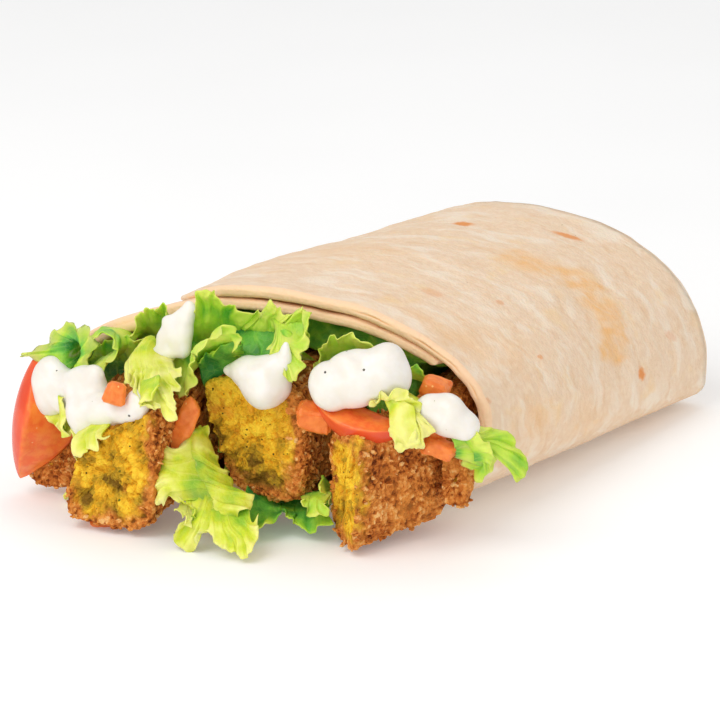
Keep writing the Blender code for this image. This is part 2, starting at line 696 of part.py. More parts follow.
POURS = {
    "sauce_left": [((-39.3, -17.0, 23.4), (4.6, 3.6, 5.8)), ((-34.0, -19.0, 22.5), (4.4, 3.6, 5.0)),
                   ((-29.0, -21.5, 22.8), (4.6, 3.8, 5.6)), ((-23.5, -25.0, 24.4), (4.6, 4.0, 4.6)),
                   ((-18.0, -26.5, 26.0), (4.2, 3.8, 3.6)), ((-12.5, -27.0, 28.4), (3.6, 3.0, 3.2))],
    "sauce_drip": [((-14.5, -10.5, 41.0), (2.2, 2.6, 3.0)), ((-14.5, -12.5, 37.0), (2.8, 2.4, 3.0)),
                   ((-13.5, -14.5, 33.5), (2.5, 2.0, 2.8))],
    "sauce_centre": [((6.5, -12.5, 31.0), (7.0, 5.0, 5.0)), ((0.8, -11.0, 32.5), (3.6, 3.0, 2.6)),
                     ((11.3, -10.0, 36.5), (1.7, 1.8, 4.6))],
    "sauce_right": [((22.0, -12.5, 31.4), (6.4, 4.8, 4.6)), ((28.0, -10.0, 32.8), (6.2, 4.8, 4.8)),
                    ((31.5, -6.0, 36.4), (3.6, 3.8, 3.8))],
    "sauce_far_right": [((40.0, -6.2, 29.0), (4.4, 3.6, 3.6)), ((45.2, -6.0, 26.4), (4.0, 3.2, 3.4))],
}


# ---------------------------------------------------------------- the burrito


def build():
    clear_scene()
    kitchen = Kitchen()
    kitchen.add("tortilla", tortilla, "tortilla", flat_angle=1.0)
    for name, how in STRIPS.items():
        kitchen.add(name, lambda grow, how=how: strip(grow=grow, **how), "crust")
    kitchen.add("lettuce_bed", bed, "lettuce")
    for name, how in WEDGES.items():
        kitchen.add(name, lambda grow, how=how: wedge(grow=grow, **how), "tomato")
    for name, blobs in POURS.items():
        kitchen.add(name, lambda grow, blobs=blobs: pour(blobs, grow), "sauce", flat_angle=8.0)
    for seed, (name, how) in enumerate(LEAVES.items()):
        shape = {key: value for key, value in how.items() if key != "finish"}
        kitchen.add(name, lambda grow, shape=shape, seed=seed: leaf(grow=grow, seed=seed, **shape), how["finish"])
    for name, how in CHIPS.items():
        kitchen.add(name, lambda grow, how=how: chip(grow=grow, **how), "carrot")
    kitchen.clear_away()


build()
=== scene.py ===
"""A veggie burrito: a soft tortilla rolled round crumbed vegetable strips, frilly lettuce, tomato, carrot and
white dressing.

Shapes are worked out in millimetres, with the mouth of the roll at Y = 0 and the table at Z = 0, and are set
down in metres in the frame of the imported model.
"""

import math
import random

import bmesh
import bpy
from mathutils import Matrix, Vector, noise


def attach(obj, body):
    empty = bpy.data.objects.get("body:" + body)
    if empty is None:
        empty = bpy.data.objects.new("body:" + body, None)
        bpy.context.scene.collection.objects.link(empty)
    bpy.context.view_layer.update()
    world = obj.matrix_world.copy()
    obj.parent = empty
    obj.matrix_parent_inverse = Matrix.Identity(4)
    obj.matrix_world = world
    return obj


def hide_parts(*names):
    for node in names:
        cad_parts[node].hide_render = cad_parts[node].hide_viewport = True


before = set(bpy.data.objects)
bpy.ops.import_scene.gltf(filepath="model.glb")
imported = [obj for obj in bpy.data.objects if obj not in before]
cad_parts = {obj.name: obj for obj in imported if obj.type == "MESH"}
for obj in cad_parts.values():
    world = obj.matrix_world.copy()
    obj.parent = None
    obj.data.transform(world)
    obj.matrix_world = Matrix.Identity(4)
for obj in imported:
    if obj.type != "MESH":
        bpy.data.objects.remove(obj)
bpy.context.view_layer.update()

# ---------------------------------------------------------------- table, lamps and camera
# The burrito lies on a plain white table top. Broad soft lamps stand in front of it, to its right and behind
# it, as in a small food studio, and the camera looks down a little into the open mouth from the right.

scene = bpy.context.scene
scene.view_settings.view_transform = "Standard"

LOOK_AT = Vector((0.0174, -0.052, 0.0336))
CAMERA_AZIMUTH, CAMERA_ELEVATION, CAMERA_DISTANCE = 29.0, 17.0, 0.7
CAMERA_LENS = 182.2


def direction(azimuth, elevation):
    """Unit vector from the burrito towards a place round it, with 0, 0 straight in front of the mouth."""
    a, e = math.radians(azimuth), math.radians(elevation)
    return Vector((math.sin(a) * math.cos(e), -math.cos(a) * math.cos(e), math.sin(e)))


def aim(thing, azimuth, elevation, distance):
    """Puts a camera or lamp this far off in a direction, turned towards the mouth."""
    back = direction(azimuth, elevation)
    thing.location = LOOK_AT + back * distance
    thing.rotation_euler = back.to_track_quat("Z", "Y").to_euler()
    scene.collection.objects.link(thing)


camera = bpy.data.objects.new("camera", bpy.data.cameras.new("camera"))
camera.data.lens = CAMERA_LENS
camera.data.clip_start = 0.01
aim(camera, CAMERA_AZIMUTH, CAMERA_ELEVATION, CAMERA_DISTANCE)
scene.camera = camera

LAMPS = {  # azimuth, elevation, distance and width in metres, watts, colour
    "window_lamp": (-20, 52, 0.80, 0.50, 2.3, (1.0, 0.985, 0.96)),
    "front_lamp": (12, 20, 0.90, 0.50, 1.35, (1.0, 0.985, 0.96)),
    "fill_lamp": (80, 35, 0.90, 0.60, 0.40, (1.0, 0.99, 0.97)),
    "back_lamp": (190, 60, 0.90, 0.50, 0.6, (1.0, 1.0, 1.0)),
}
for name, (azimuth, elevation, distance, width, watts, colour) in LAMPS.items():
    lamp = bpy.data.lights.new(name, "AREA")
    lamp.size = width
    lamp.energy = watts
    lamp.color = colour
    aim(bpy.data.objects.new(name, lamp), azimuth, elevation, distance)

world = bpy.data.worlds.new("studio")
world.use_nodes = True
walls = world.node_tree.nodes["Background"].inputs
walls["Color"].default_value = (1.0, 1.0, 1.0, 1.0)
walls["Strength"].default_value = 0.66
scene.world = world


def add_node(tree, kind, sockets=None, **settings):
    """Node with its settings, and its sockets set to values or linked to other nodes' outputs."""
    made = tree.nodes.new(kind)
    for key, value in settings.items():
        setattr(made, key, value)
    for socket, value in (sockets or {}).items():
        if isinstance(value, bpy.types.NodeSocket):
            tree.links.new(value, made.inputs[socket])
        else:
            made.inputs[socket].default_value = value
    return made


def new_finish(name, **constants):
    """Material with its Principled shader, whose plain sockets are set from constants."""
    finish = bpy.data.materials.new(name)
    finish.use_nodes = True
    shader = finish.node_tree.nodes["Principled BSDF"]
    for socket, value in constants.items():
        shader.inputs[socket.replace("_", " ")].default_value = value
    return finish, finish.node_tree, shader


def blend(tree, share, first, second):
    """Colour between two others by a share."""
    return add_node(tree, "ShaderNodeMix", {0: share, 6: first, 7: second}, data_type="RGBA").outputs[2]


def sum_up(tree, way, first, second):
    return add_node(tree, "ShaderNodeMath", {0: first, 1: second}, operation=way).outputs[0]


def rgb(red, green, blue):
    return (red, green, blue, 1.0)


def in_millimetres(tree):
    """Place on the burrito in millimetres."""
    place = add_node(tree, "ShaderNodeTexCoord").outputs["Object"]
    return add_node(tree, "ShaderNodeVectorMath", {0: place, "Scale": 1000.0}, operation="SCALE").outputs[0]


def cloudy(tree, place, scale, detail):
    """Noise node with this many waves to the unit of place."""
    return add_node(tree, "ShaderNodeTexNoise", {"Vector": place, "Scale": scale, "Detail": detail})


def new_group(name, inputs, output):
    """Node group with named inputs, given as name: (kind, value), and one output."""
    group = bpy.data.node_groups.new(name, "ShaderNodeTree")
    for key, (kind, value) in inputs.items():
        socket = group.interface.new_socket(key, in_out="INPUT", socket_type="NodeSocket" + kind)
        if value is not None:
            socket.default_value = value
    group.interface.new_socket(output, in_out="OUTPUT", socket_type="NodeSocketFloat")
    return group, group.nodes.new("NodeGroupInput").outputs, group.nodes.new("NodeGroupOutput").inputs


# Soft patches: noise of a given size in millimetres, cut to a mask between two levels.
patches, given, wanted = new_group(
    "soft_patches", {"Place": ("Vector", None), "Size": ("Float", 5.0), "From": ("Float", 0.4),
                     "To": ("Float", 0.6), "Detail": ("Float", 3.0)}, "Mask")
finer = sum_up(patches, "DIVIDE", 1.0, given["Size"])
level = add_node(patches, "ShaderNodeMapRange", {
    "Value": cloudy(patches, given["Place"], finer, given["Detail"]).outputs[0],
    "From Min": given["From"], "From Max": given["To"]}, interpolation_type="SMOOTHSTEP")
patches.links.new(level.outputs[0], wanted["Mask"])


def patchy(tree, place, size, low, high, detail):
    """Mask of soft patches of this size, between two levels of the noise."""
    return add_node(tree, "ShaderNodeGroup", {"Place": place, "Size": size, "From": low, "To": high,
                                              "Detail": detail}, node_tree=patches).outputs["Mask"]


def paint(tree, shader, colour):
    tree.links.new(colour, shader.inputs["Base Color"])


def take_mesh(mesh, name):
    """Mesh data from a bmesh, which is freed."""
    data = bpy.data.meshes.new(name)
    mesh.to_mesh(data)
    mesh.free()
    return data


table_top, tree, shader = new_finish(
    "white_table", Roughness=0.7, Emission_Color=(1.0, 1.0, 1.0, 1.0), Emission_Strength=0.12)
shade = patchy(tree, in_millimetres(tree), 90.0, 0.3, 0.7, 1.0)
paint(tree, shader, blend(tree, shade, rgb(0.94, 0.94, 0.94), rgb(0.955, 0.955, 0.955)))

TABLE_REACH, TABLE_SQUARES = 6.0, 24
mesh = bmesh.new()
bmesh.ops.create_grid(mesh, x_segments=TABLE_SQUARES, y_segments=TABLE_SQUARES, size=TABLE_REACH)
table = bpy.data.objects.new("table", take_mesh(mesh, "table"))
table.data.materials.append(table_top)
scene.collection.objects.link(table)

# ---------------------------------------------------------------- tortilla
# A soft wheat tortilla about two millimetres thick, baked in toasted patches and rolled in a little more than
# one turn, with its flap on the top left. The far end is folded in, and the mouth shows both layers and their
# flaky edge.

ROLL_LENGTH = 104.0
MOUTH_HALF_WIDTH, MOUTH_HEIGHT, MOUTH_WAIST = 45.0, 45.0, 22.0
END_HALF_WIDTH, END_HEIGHT, END_WAIST = 42.0, 39.5, 7.0
END_SHIFT = 8.0  # the roll leans towards +X as it goes back
MOUTH_SLANT = 8.0  # the mouth's edge is this much further back on the right than in the middle
CROWN_POWERS, BASE_POWERS = (1.85, 2.2), (2.8, 3.4)  # roundness over and under the waist, at mouth and end
BASE_SINK = 0.6  # the section is cut flat this far above its lowest point
LIP_LIFT, LIP_REACH = 2.5, 14.0  # the bottom of the mouth curls up off the table
SWELL, SWELL_SIZE = 0.6, 24.0  # what lies inside pushes the sheet out here and there
SHEET, LAYER_GAP = 2.4, 0.15  # thickness, and the gap between its two layers
GAPE, GAPE_MIDDLE, GAPE_SPREAD, GAPE_REACH = 0.42, 78.0, 22.0, 22.0  # the layers part at the top of the mouth
TUCK_TURN = 90.0  # degrees over which the inner layer comes out to the surface
INNER_EDGE = 33.0  # degrees round the roll at which the sheet starts, inside the right shoulder
FLAP_EDGE, FLAP_BULGE = 478.0, 26.0  # degrees at which the sheet ends, and how much further in its middle
REST_POINT = Vector((END_SHIFT / 2, ROLL_LENGTH / 2, 0.0))
ARC_PER_DEGREE = 0.75  # millimetres round the roll
noise.seed_set(3)  # noise_vector would start from the time of day without it


def mix(a, b, share):
    return a + (b - a) * share


def ease(share):
    """Smooth rise from 0 to 1."""
    share = min(max(share, 0.0), 1.0)
    return share * share * (3.0 - 2.0 * share)


def rough(point, grain):
    """Smooth noise between about -1 and 1, with bumps of the given size in millimetres."""
    return noise.noise(point / grain)


def roll_point(angle, back, depth=0.0):
    """Point of the roll's surface at an angle round its section, this far back and this deep under it."""
    share = back / ROLL_LENGTH
    half = mix(MOUTH_HALF_WIDTH, END_HALF_WIDTH, share)
    height = mix(MOUTH_HEIGHT, END_HEIGHT, share)
    waist = mix(MOUTH_WAIST, END_WAIST, share)
    c, s = math.cos(math.radians(angle)), math.sin(math.radians(angle))
    power = mix(*(CROWN_POWERS if s >= 0 else BASE_POWERS), share)
    across = math.copysign(abs(c) ** (2 / power), c)
    x = across * (half - depth)
    if s >= 0:
        z = waist + (height - waist - depth) * s ** (2 / power)
    else:
        z = max(waist - (waist + BASE_SINK - depth) * (-s) ** (2 / power), depth)
    y = back + MOUTH_SLANT * across * (1 - share)
    z += LIP_LIFT * (1 - ease(back / LIP_REACH)) * (1 - z / height)
    swell = SWELL * rough(Vector((x, y, z)), SWELL_SIZE) * ease(z / 9.0)
    away = Vector((x, 0.0, z - waist)).normalized()
    return Vector((x + END_SHIFT * share, y, z)) + away * swell


def flap_edge(back):
    """Degrees round the roll at which the flap ends, this far back: its edge is a shallow bow."""
    share = back / ROLL_LENGTH
    return FLAP_EDGE + FLAP_BULGE * (1 - (2 * share - 1) ** 2)


def outer_depth(angle, back):
    """How far the sheet's outer face lies under the roll's surface: it starts inside and comes out to it."""
    open_here = math.exp(-((angle - GAPE_MIDDLE) / GAPE_SPREAD) ** 2)
    under = SHEET + LAYER_GAP + GAPE * open_here * (1 - ease(back / GAPE_REACH))
    return under * (1 - ease((angle - flap_edge(back) + 360.0 - 2.0) / TUCK_TURN))


def skin_relief(point):
    """Height of the soft blisters and creases that baking and rolling leave in the tortilla."""
    bent = point.y + 2.2 * rough(point, 9.0)
    drawn = Vector((point.x * 0.40, bent * 1.5, point.z * 0.40))  # creases run round the roll
    blister = max(0.0, rough(point + Vector((9, 40, 3)), 7.0) - 0.1)
    crease = ease(1 - abs(rough(drawn, 6.0)) / 0.10) * ease(0.5 + 1.4 * rough(point, 8.0))
    return (0.15 * rough(drawn, 3.2) + 0.50 * blister + 0.10 * rough(point, 2.1) + 0.12 * rough(drawn, 9.0)
            - 0.22 * crease)


def bare_point(angle, back, depth):
    """Point of the sheet with its relief, which fades towards the table."""
    point = roll_point(angle, back, depth)
    out = Vector((point.x, 0.0, point.z - 18.0)).normalized()
    return point + out * skin_relief(point) * ease(point.z / 5.0)


def set_down(node, name, finish, points, faces, carried=None, smooth=True):
    """Makes the piece that stands for a node of the frame, from points in millimetres.

    carried holds the values that its material reads at the points.
    """
    data = bpy.data.meshes.new(name)
    data.from_pydata([(p - REST_POINT) * 0.001 for p in points], [], faces)
    for key, values in (carried or {}).items():
        flat = isinstance(values[0], float)
        layer = data.attributes.new(key, "FLOAT" if flat else "FLOAT_VECTOR", "POINT")
        if flat:
            layer.data.foreach_set("value", values)
        else:
            layer.data.foreach_set("vector", [c for v in values for c in v])
    mesh = bmesh.new()
    mesh.from_mesh(data)
    bmesh.ops.recalc_face_normals(mesh, faces=mesh.faces)
    mesh.to_mesh(data)
    mesh.free()
    data.polygons.foreach_set("use_smooth", [smooth] * len(data.polygons))
    data.materials.append(finish)
    piece = bpy.data.objects.new(name, data)
    scene.collection.objects.link(piece)
    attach(piece, "root")
    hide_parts(node)


def ring_faces(first, count, rows, closed=True):
    """Quads between rows of points that start at an index, each row a ring unless it is left open."""
    spans = count if closed else count - 1
    return [(first + r * count + i, first + r * count + (i + 1) % count,
             first + (r + 1) * count + (i + 1) % count, first + (r + 1) * count + i)
            for r in range(rows - 1) for i in range(spans)]


def tip_fan(points, start, count, tip):
    """Adds a tip to the points, and returns the triangles between it and the ring that starts at an index."""
    points.append(tip)
    return [(start + i, start + (i + 1) % count, len(points) - 1) for i in range(count)]


SLICES = 84
SHEET_END = ROLL_LENGTH - 3.0
RIM = ((1.5, 0.0), (0.85, 0.12), (0.38, 0.36), (0.12, 0.70), (None, 0.96), (0.02, 1.12), (-0.02, 1.5),
       (0.06, 1.9), (0.36, 2.24), (0.85, 2.38))  # how far back and how deep; the fifth: the skin comes away
SPLIT_DEPTH, SPLIT_FROM, SPLIT_TO = 0.55, 6.0, 80.0  # millimetres, and degrees round the outer layer


def rim_split(angle):
    """How far back the skin has come away from the rim's edge, in millimetres."""
    here = 0.5 + 0.9 * noise.noise(Vector((angle / 9.0, 3.0, 0.0)))
    if angle < 360.0:
        return 0.1
    angle %= 360.0
    return SPLIT_DEPTH * ease(here) * ease((SPLIT_TO - angle) / 25.0) * ease((angle - SPLIT_FROM) / 12.0)


backs = [mix(SHEET_END, 2.0, (k / SLICES) ** 0.92) for k in range(SLICES + 1)]
points, places, cut, edges, faces = [], [], [], [], []
STEP_ROUND = 1.38  # degrees between the points round the roll, which lie closer at the sheet's two edges
turns = [INNER_EDGE + d for d in (0.0, 0.15, 0.5, 1.0)]
turns += [INNER_EDGE + 2.0 + STEP_ROUND * i for i in range(318)]
turns = [t for t in turns if t < FLAP_EDGE - 4.0] + [FLAP_EDGE - d for d in (3.2, 2.0, 1.0, 0.4, 0.12, 0.0)]
EDGE_ROUNDING, FLAP_SINK, FLAP_SINK_WIDTH = 1.1, 0.85, 15.0
RAGGED, FLAP_CORNER = 0.5, 8.0  # how uneven the rim is, and how far the flap's corner is rounded back
THICKENED, THICK_FROM, THICK_TO, THICK_REACH = 1.7, 112.0, 196.0, 16.0  # the rim is thicker on the left
GAP_SHADE, GAP_REACH = 0.7, 8.0  # painted warm shade where the two layers part
# Rim colour: partly the cut edge's own paler colour, partly painted light where the mouth lies in shade.
PALE_AND_LIT_OUTSIDE, PALE_AND_LIT_INSIDE = 2.6, 9.0  # how far back the paler, partly lit rim colour runs
for angle in turns:
    share_round = (angle - INNER_EDGE) / (FLAP_EDGE - INNER_EDGE)

    def spot(back, depth):
        """Point at this angle, stretched so that the last one lies on the flap's curved edge."""
        turned = mix(INNER_EDGE, flap_edge(back), share_round)
        to_edge = min(turned - INNER_EDGE, flap_edge(back) - turned) * ARC_PER_DEGREE
        full = math.sqrt(max(0.04, 1 - (1 - min(to_edge / EDGE_ROUNDING, 1.0)) ** 2))
        sink = ease(1 - (flap_edge(back) - turned) * ARC_PER_DEGREE / FLAP_SINK_WIDTH)
        under = (outer_depth(turned, back) + SHEET / 2 + (depth - SHEET / 2) * full * (1 - 0.4 * sink)
                 + FLAP_SINK * sink)
        ragged = RAGGED * rough(Vector((turned / 6.0, 0, 0)), 1.7)
        ragged += FLAP_CORNER * sink ** 2 * (1 - ease(back / 18.0))
        folded = ease((turned - THICK_FROM) / 14.0) * ease((THICK_TO - turned) / 16.0)
        under += THICKENED * folded * ease(1 - back / THICK_REACH) * depth / SHEET
        points.append(bare_point(turned, back + ragged * (1 - back / SHEET_END), under))
        places.append((turned * ARC_PER_DEGREE, back, depth))

    # Where the sheet is doubled, its outer or its inner face lies in the gap between the two layers.
    # Near the mouth that face is painted browner, as painted warm shade in the gap.
    doubled = (angle < FLAP_EDGE - 360.0, angle > INNER_EDGE + 360.0)
    for back in backs:
        spot(back, 0.0)
        cut.append(GAP_SHADE * ease(1 - back / GAP_REACH) if doubled[0] else 0.0)
        edges.append(ease(1 - back / PALE_AND_LIT_OUTSIDE))
    for back, depth in RIM:
        edges.append(1.0)
        spot(rim_split(angle) if back is None else back, depth)
        # The crack where the skin comes away is painted orange-brown, as painted warm shade.
        cut.append(rim_split(angle) / SPLIT_DEPTH if back is None else 0.0)
    for back in reversed(backs):
        spot(back, SHEET)
        cut.append(GAP_SHADE * ease(1 - back / GAP_REACH) if doubled[1] else 0.0)
        edges.append(ease(1 - back / PALE_AND_LIT_INSIDE))
loop = 2 * len(backs) + len(RIM)
faces = ring_faces(0, loop, len(turns))
for start in (0, (len(turns) - 1) * loop):
    for k in range(loop // 2 - 1):
        faces.append((start + k, start + k + 1, start + loop - 2 - k, start + loop - 1 - k))


FOLD_STEP, SIDE_STEP, FOLD_GROOVE, SIDE_GROOVE, HOLLOW = 2.6, 1.2, 1.3, 0.9, 1.6  # depths in the far end


def end_relief(point):
    """The end's sides are tucked in under an upper fold, which stands proud of them, and all is creased."""
    across = (point.x - END_SHIFT) / END_HALF_WIDTH
    over = point.z - END_HEIGHT * (0.32 + 0.30 * across ** 2) - 1.2 * rough(point, 12.0)
    aside = END_HALF_WIDTH * (0.35 - point.z / END_HEIGHT - across) + 1.5 * rough(point, 9.0)
    upper = ease(over / 1.2 + 0.5)
    lower = (1 - upper) * (FOLD_STEP - SIDE_STEP * ease(aside / 1.6)
                           + SIDE_GROOVE * math.exp(-((aside + 1.0) / 1.2) ** 2))
    lower += FOLD_GROOVE * math.exp(-((over + 1.2) / 1.2) ** 2)
    out = Vector((point.x - END_SHIFT, 0, point.z - 0.42 * END_HEIGHT))
    inward = ease(1 - out.length / (0.8 * END_HALF_WIDTH))
    fan = math.atan2(out.z, out.x)
    pleat = abs(math.sin(4.5 * fan + 0.8 * rough(point, 9.0))) ** 0.6 * ease(out.length / 26.0)
    rim = ease((abs(out.length) - 8.0) / 8.0)
    raised = 0.4 * rough(point, 7.0) + 0.9 * (pleat - 0.7) * rim
    return point + Vector((0, raised - lower - HOLLOW * inward, 0))


END_AROUND, END_RINGS, FADE_RINGS = 220, 40, 5.0
steps = [(-8.0, 1.1), (-3.6, 1.1), (-3.1, 0.03), (-2.5, 0.12), (-1.8, 0.35), (-1.2, 0.72), (-0.7, 1.2),
         (-0.3, 1.9), (0.0, 2.9)]  # how far on and how deep the end's rounded corner goes


def on_end(point):
    """Where a point of the end lies on the flat sheet, well away from the rest of it."""
    return (300.0 + 0.8 * point.x, point.z, 0.0)


end_start = len(points)
middle = Vector((END_SHIFT, ROLL_LENGTH, 0.42 * END_HEIGHT))
for ahead, inset in steps:
    back = ROLL_LENGTH + ahead
    seam = flap_edge(back) - 360.0
    outline = []
    for i in range(END_AROUND):
        angle = seam + 3.0 + 354.0 * i / (END_AROUND - 1)
        outline.append(bare_point(angle, back, outer_depth(angle, back) + inset))
        places.append((angle * ARC_PER_DEGREE, back, 0.0))
    points += outline
for k in range(1, END_RINGS):
    for i, edge in enumerate(outline):
        fade = ease(k / FADE_RINGS)
        inner = edge.lerp(middle, k / END_RINGS)
        points.append(inner.lerp(end_relief(inner), fade))
        places.append(on_end(inner))
rows = len(steps) + END_RINGS - 1
faces += ring_faces(end_start, END_AROUND, rows)
for row, tip in ((0, middle - Vector((0, 8, 0))), (rows - 1, end_relief(middle))):
    faces += tip_fan(points, end_start + row * END_AROUND, END_AROUND, tip)
    places.append(on_end(tip))
cut += [0.0] * (len(points) - len(cut))
edges += [0.0] * (len(points) - len(edges))

TOAST_LINE = ((64, 61), (54, 64), (48, 67), (42, 68), (34, 66), (26, 64), (19, 60))  # degrees round, back
TOAST_WIDTH = 4.6
TAN_AREAS = (  # degrees round, millimetres back, half width in degrees, half length, strength
    (-1, 20, 9, 7, 0.5), (41, 10, 16, 5, 0.45), (30, 22, 12, 7, 0.25), (-6, 44, 10, 10, 0.25),
    (100, 40, 14, 12, 0.3), (160, 60, 16, 14, 0.5), (205, 30, 20, 12, 0.6), (230, 70, 22, 16, 0.6),
    (290, 50, 26, 20, 0.6), (320, 84, 18, 12, 0.5), (140, 20, 12, 9, 0.4))


def toasted(place):
    """How much the tortilla is browned at a place, from 0 to 1."""
    angle, back = place[0] / ARC_PER_DEGREE, place[1]
    wobble = Vector((angle / 9.0, back / 9.0, 2.0))
    near = math.inf
    for (a0, b0), (a1, b1) in zip(TOAST_LINE, TOAST_LINE[1:]):
        p = Vector(((angle % 360 - a0) * ARC_PER_DEGREE, back - b0))
        d = Vector(((a1 - a0) * ARC_PER_DEGREE, b1 - b0))
        t = min(max(p.dot(d) / d.dot(d), 0.0), 1.0)
        near = min(near, (p - d * t).length)
    band = ease(1.6 - (near + 3.0 * noise.noise(wobble * 2.0)) / TOAST_WIDTH)
    level = band * (0.75 + 0.5 * noise.noise(wobble * 3.0))
    turned = (angle + 20.0) % 360.0 - 20.0  # from -20 to 340
    for a0, b0, wide, deep, strength in TAN_AREAS:
        far = math.hypot((turned - a0) / wide, (back - b0) / deep) + 0.5 * noise.noise(wobble * 2.5)
        level += strength * math.exp(-max(far, 0.0) ** 2)
    return min(level, 1.0)


SPOTS = (  # degrees round and millimetres back, length and width in millimetres, lean in degrees, strength
    (92, 76, 2.0, 1.9, 0, 1.0), (68, 86, 3.6, 1.5, 20, 0.9), (6, 69, 2.1, 1.7, 0, 1.0),
    (61, 24, 2.4, 2.6, 0, 0.35), (49, 36, 1.0, 1.2, 20, 0.45), (10, 2, 1.4, 1.0, 0, 0.5),
    (24, 30, 0.8, 0.9, 0, 0.6), (17, 86, 2.6, 1.5, 60, 0.35), (150, 30, 3.0, 1.2, 20, 0.8),
    (185, 62, 2.6, 1.4, 60, 0.9), (128, 78, 2.0, 1.0, 10, 0.8))

# Specks: small round dots strewn at a spacing in millimetres, of which only a share show.
specks, given, wanted = new_group(
    "specks", {"Place": ("Vector", None), "Spacing": ("Float", 3.0), "Radius": ("Float", 0.2),
               "Share": ("Float", 0.3)}, "Mask")
closer = sum_up(specks, "DIVIDE", 1.0, given["Spacing"])
cells = add_node(specks, "ShaderNodeTexVoronoi", {"Vector": given["Place"], "Scale": closer})
chance = add_node(specks, "ShaderNodeSeparateColor", {0: cells.outputs["Color"]}).outputs[0]
shown = sum_up(specks, "LESS_THAN", chance, given["Share"])
reach = sum_up(specks, "DIVIDE", given["Radius"], given["Spacing"])
dot = sum_up(specks, "LESS_THAN", cells.outputs["Distance"], reach)
specks.links.new(sum_up(specks, "MULTIPLY", shown, dot), wanted["Mask"])


def speckled(tree, place, spacing, radius, share):
    """Mask of small round specks."""
    return add_node(tree, "ShaderNodeGroup", {"Place": place, "Spacing": spacing, "Radius": radius,
                                              "Share": share}, node_tree=specks).outputs["Mask"]


def painted(tree, name):
    """A value that the piece's mesh carries at its points."""
    return add_node(tree, "ShaderNodeAttribute", attribute_name=name).outputs["Fac"]


def times_plus(tree, value, factor, rest):
    """A value times a factor, plus the rest."""
    node = add_node(tree, "ShaderNodeMath", {0: value, 1: factor, 2: rest}, operation="MULTIPLY_ADD")
    return node.outputs[0]


def part_of(tree, mask, share):
    """Mask thinned to a share of itself."""
    return sum_up(tree, "MULTIPLY", mask, share)


def vector_sum(tree, operation, first, second=(0.0, 0.0, 0.0), third=(0.0, 0.0, 0.0)):
    return add_node(tree, "ShaderNodeVectorMath", {0: first, 1: second, 2: third}, operation=operation)


def strayed(tree, place, scale, detail, reach):
    """The place moved by a cloudy noise, by up to this reach each way."""
    cloud = cloudy(tree, place, scale, detail).outputs["Color"]
    return vector_sum(tree, "MULTIPLY_ADD", cloud, reach, place).outputs[0]


def raise_grain(tree, shader, height, strength, distance):
    """Bump from a height, with its distance in millimetres."""
    bump = add_node(tree, "ShaderNodeBump",
                    {"Height": height, "Strength": strength, "Distance": distance * 0.001})
    tree.links.new(bump.outputs[0], shader.inputs["Normal"])


wheat, tree, shader = new_finish(
    "wheat_tortilla", Roughness=0.62, Subsurface_Weight=0.12, Subsurface_Radius=(1.0, 0.55, 0.3),
    Subsurface_Scale=0.0015, Specular_IOR_Level=0.35)
place = add_node(tree, "ShaderNodeAttribute", attribute_name="sheet_place").outputs["Vector"]
solid_place = in_millimetres(tree)
bent = strayed(tree, place, 0.12, 2.0, (5.0, 9.0, 0.0))
stretch = vector_sum(tree, "MULTIPLY", bent, (0.42, 1.0, 0.4)).outputs[0]
pale_flour = patchy(tree, stretch, 5.5, 0.46, 0.66, 6.0)
tan_streak = patchy(tree, stretch, 3.6, 0.52, 0.70, 6.0)
golden = patchy(tree, bent, 9.0, 0.55, 0.75, 5.0)
fine_mottle = patchy(tree, solid_place, 1.4, 0.35, 0.75, 3.0)
colour = blend(tree, fine_mottle, rgb(0.84, 0.62, 0.43), rgb(0.89, 0.69, 0.50))
colour = blend(tree, part_of(tree, pale_flour, 0.7), colour, rgb(0.92, 0.79, 0.64))
colour = blend(tree, part_of(tree, tan_streak, 0.45), colour, rgb(0.76, 0.49, 0.28))
colour = blend(tree, part_of(tree, golden, 0.6), colour, rgb(0.90, 0.63, 0.33))
browned = part_of(tree, painted(tree, "toast"), patchy(tree, stretch, 3.0, 0.15, 0.55, 4.0))
colour = blend(tree, part_of(tree, browned, 0.95), colour, rgb(0.88, 0.50, 0.20))
STRAY = 1.6
warped = strayed(tree, place, 0.9, 3.0, (STRAY, STRAY, 0.0))
for angle, back, long, wide, lean, strength in SPOTS:
    turn = 360.0 if angle < FLAP_EDGE - 360.0 else 0.0  # the outer of two layers
    centre = ((angle + turn) * ARC_PER_DEGREE + STRAY / 2, back + STRAY / 2, 0.0)
    away = vector_sum(tree, "SUBTRACT", warped, centre).outputs[0]
    away = add_node(tree, "ShaderNodeVectorRotate", {"Vector": away, "Angle": math.radians(lean)},
                    rotation_type="Z_AXIS").outputs[0]
    away = vector_sum(tree, "MULTIPLY", away, (1 / long, 1 / wide, 0.0)).outputs[0]
    far = vector_sum(tree, "LENGTH", away).outputs["Value"]
    burnt = add_node(tree, "ShaderNodeMapRange", {
        "Value": far, "From Min": 1.3, "From Max": 0.5, "To Max": strength}, interpolation_type="SMOOTHSTEP")
    colour = blend(tree, burnt.outputs[0], colour, rgb(0.80, 0.30, 0.080))
colour = blend(tree, speckled(tree, solid_place, 5.0, 0.16, 0.22), colour, rgb(0.42, 0.22, 0.10))
# Painted light in part: the rim and the inner face near the mouth are made paler where they lie in shade.
colour = blend(tree, part_of(tree, painted(tree, "rim"), 0.9), colour, rgb(1.0, 0.67, 0.42))
# Painted warm shade: orange-brown in the rim's crack and in the gap between the two layers.
colour = blend(tree, painted(tree, "crack_and_gap_shade"), colour, rgb(0.92, 0.45, 0.12))
paint(tree, shader, colour)
raise_grain(tree, shader, cloudy(tree, solid_place, 1.3, 6.0).outputs[0], 0.5, 0.5)

set_down("tortilla", "tortilla_wrap", wheat, points, faces,
         {"sheet_place": places, "toast": [toasted(p) for p in places], "crack_and_gap_shade": cut, "rim": edges})
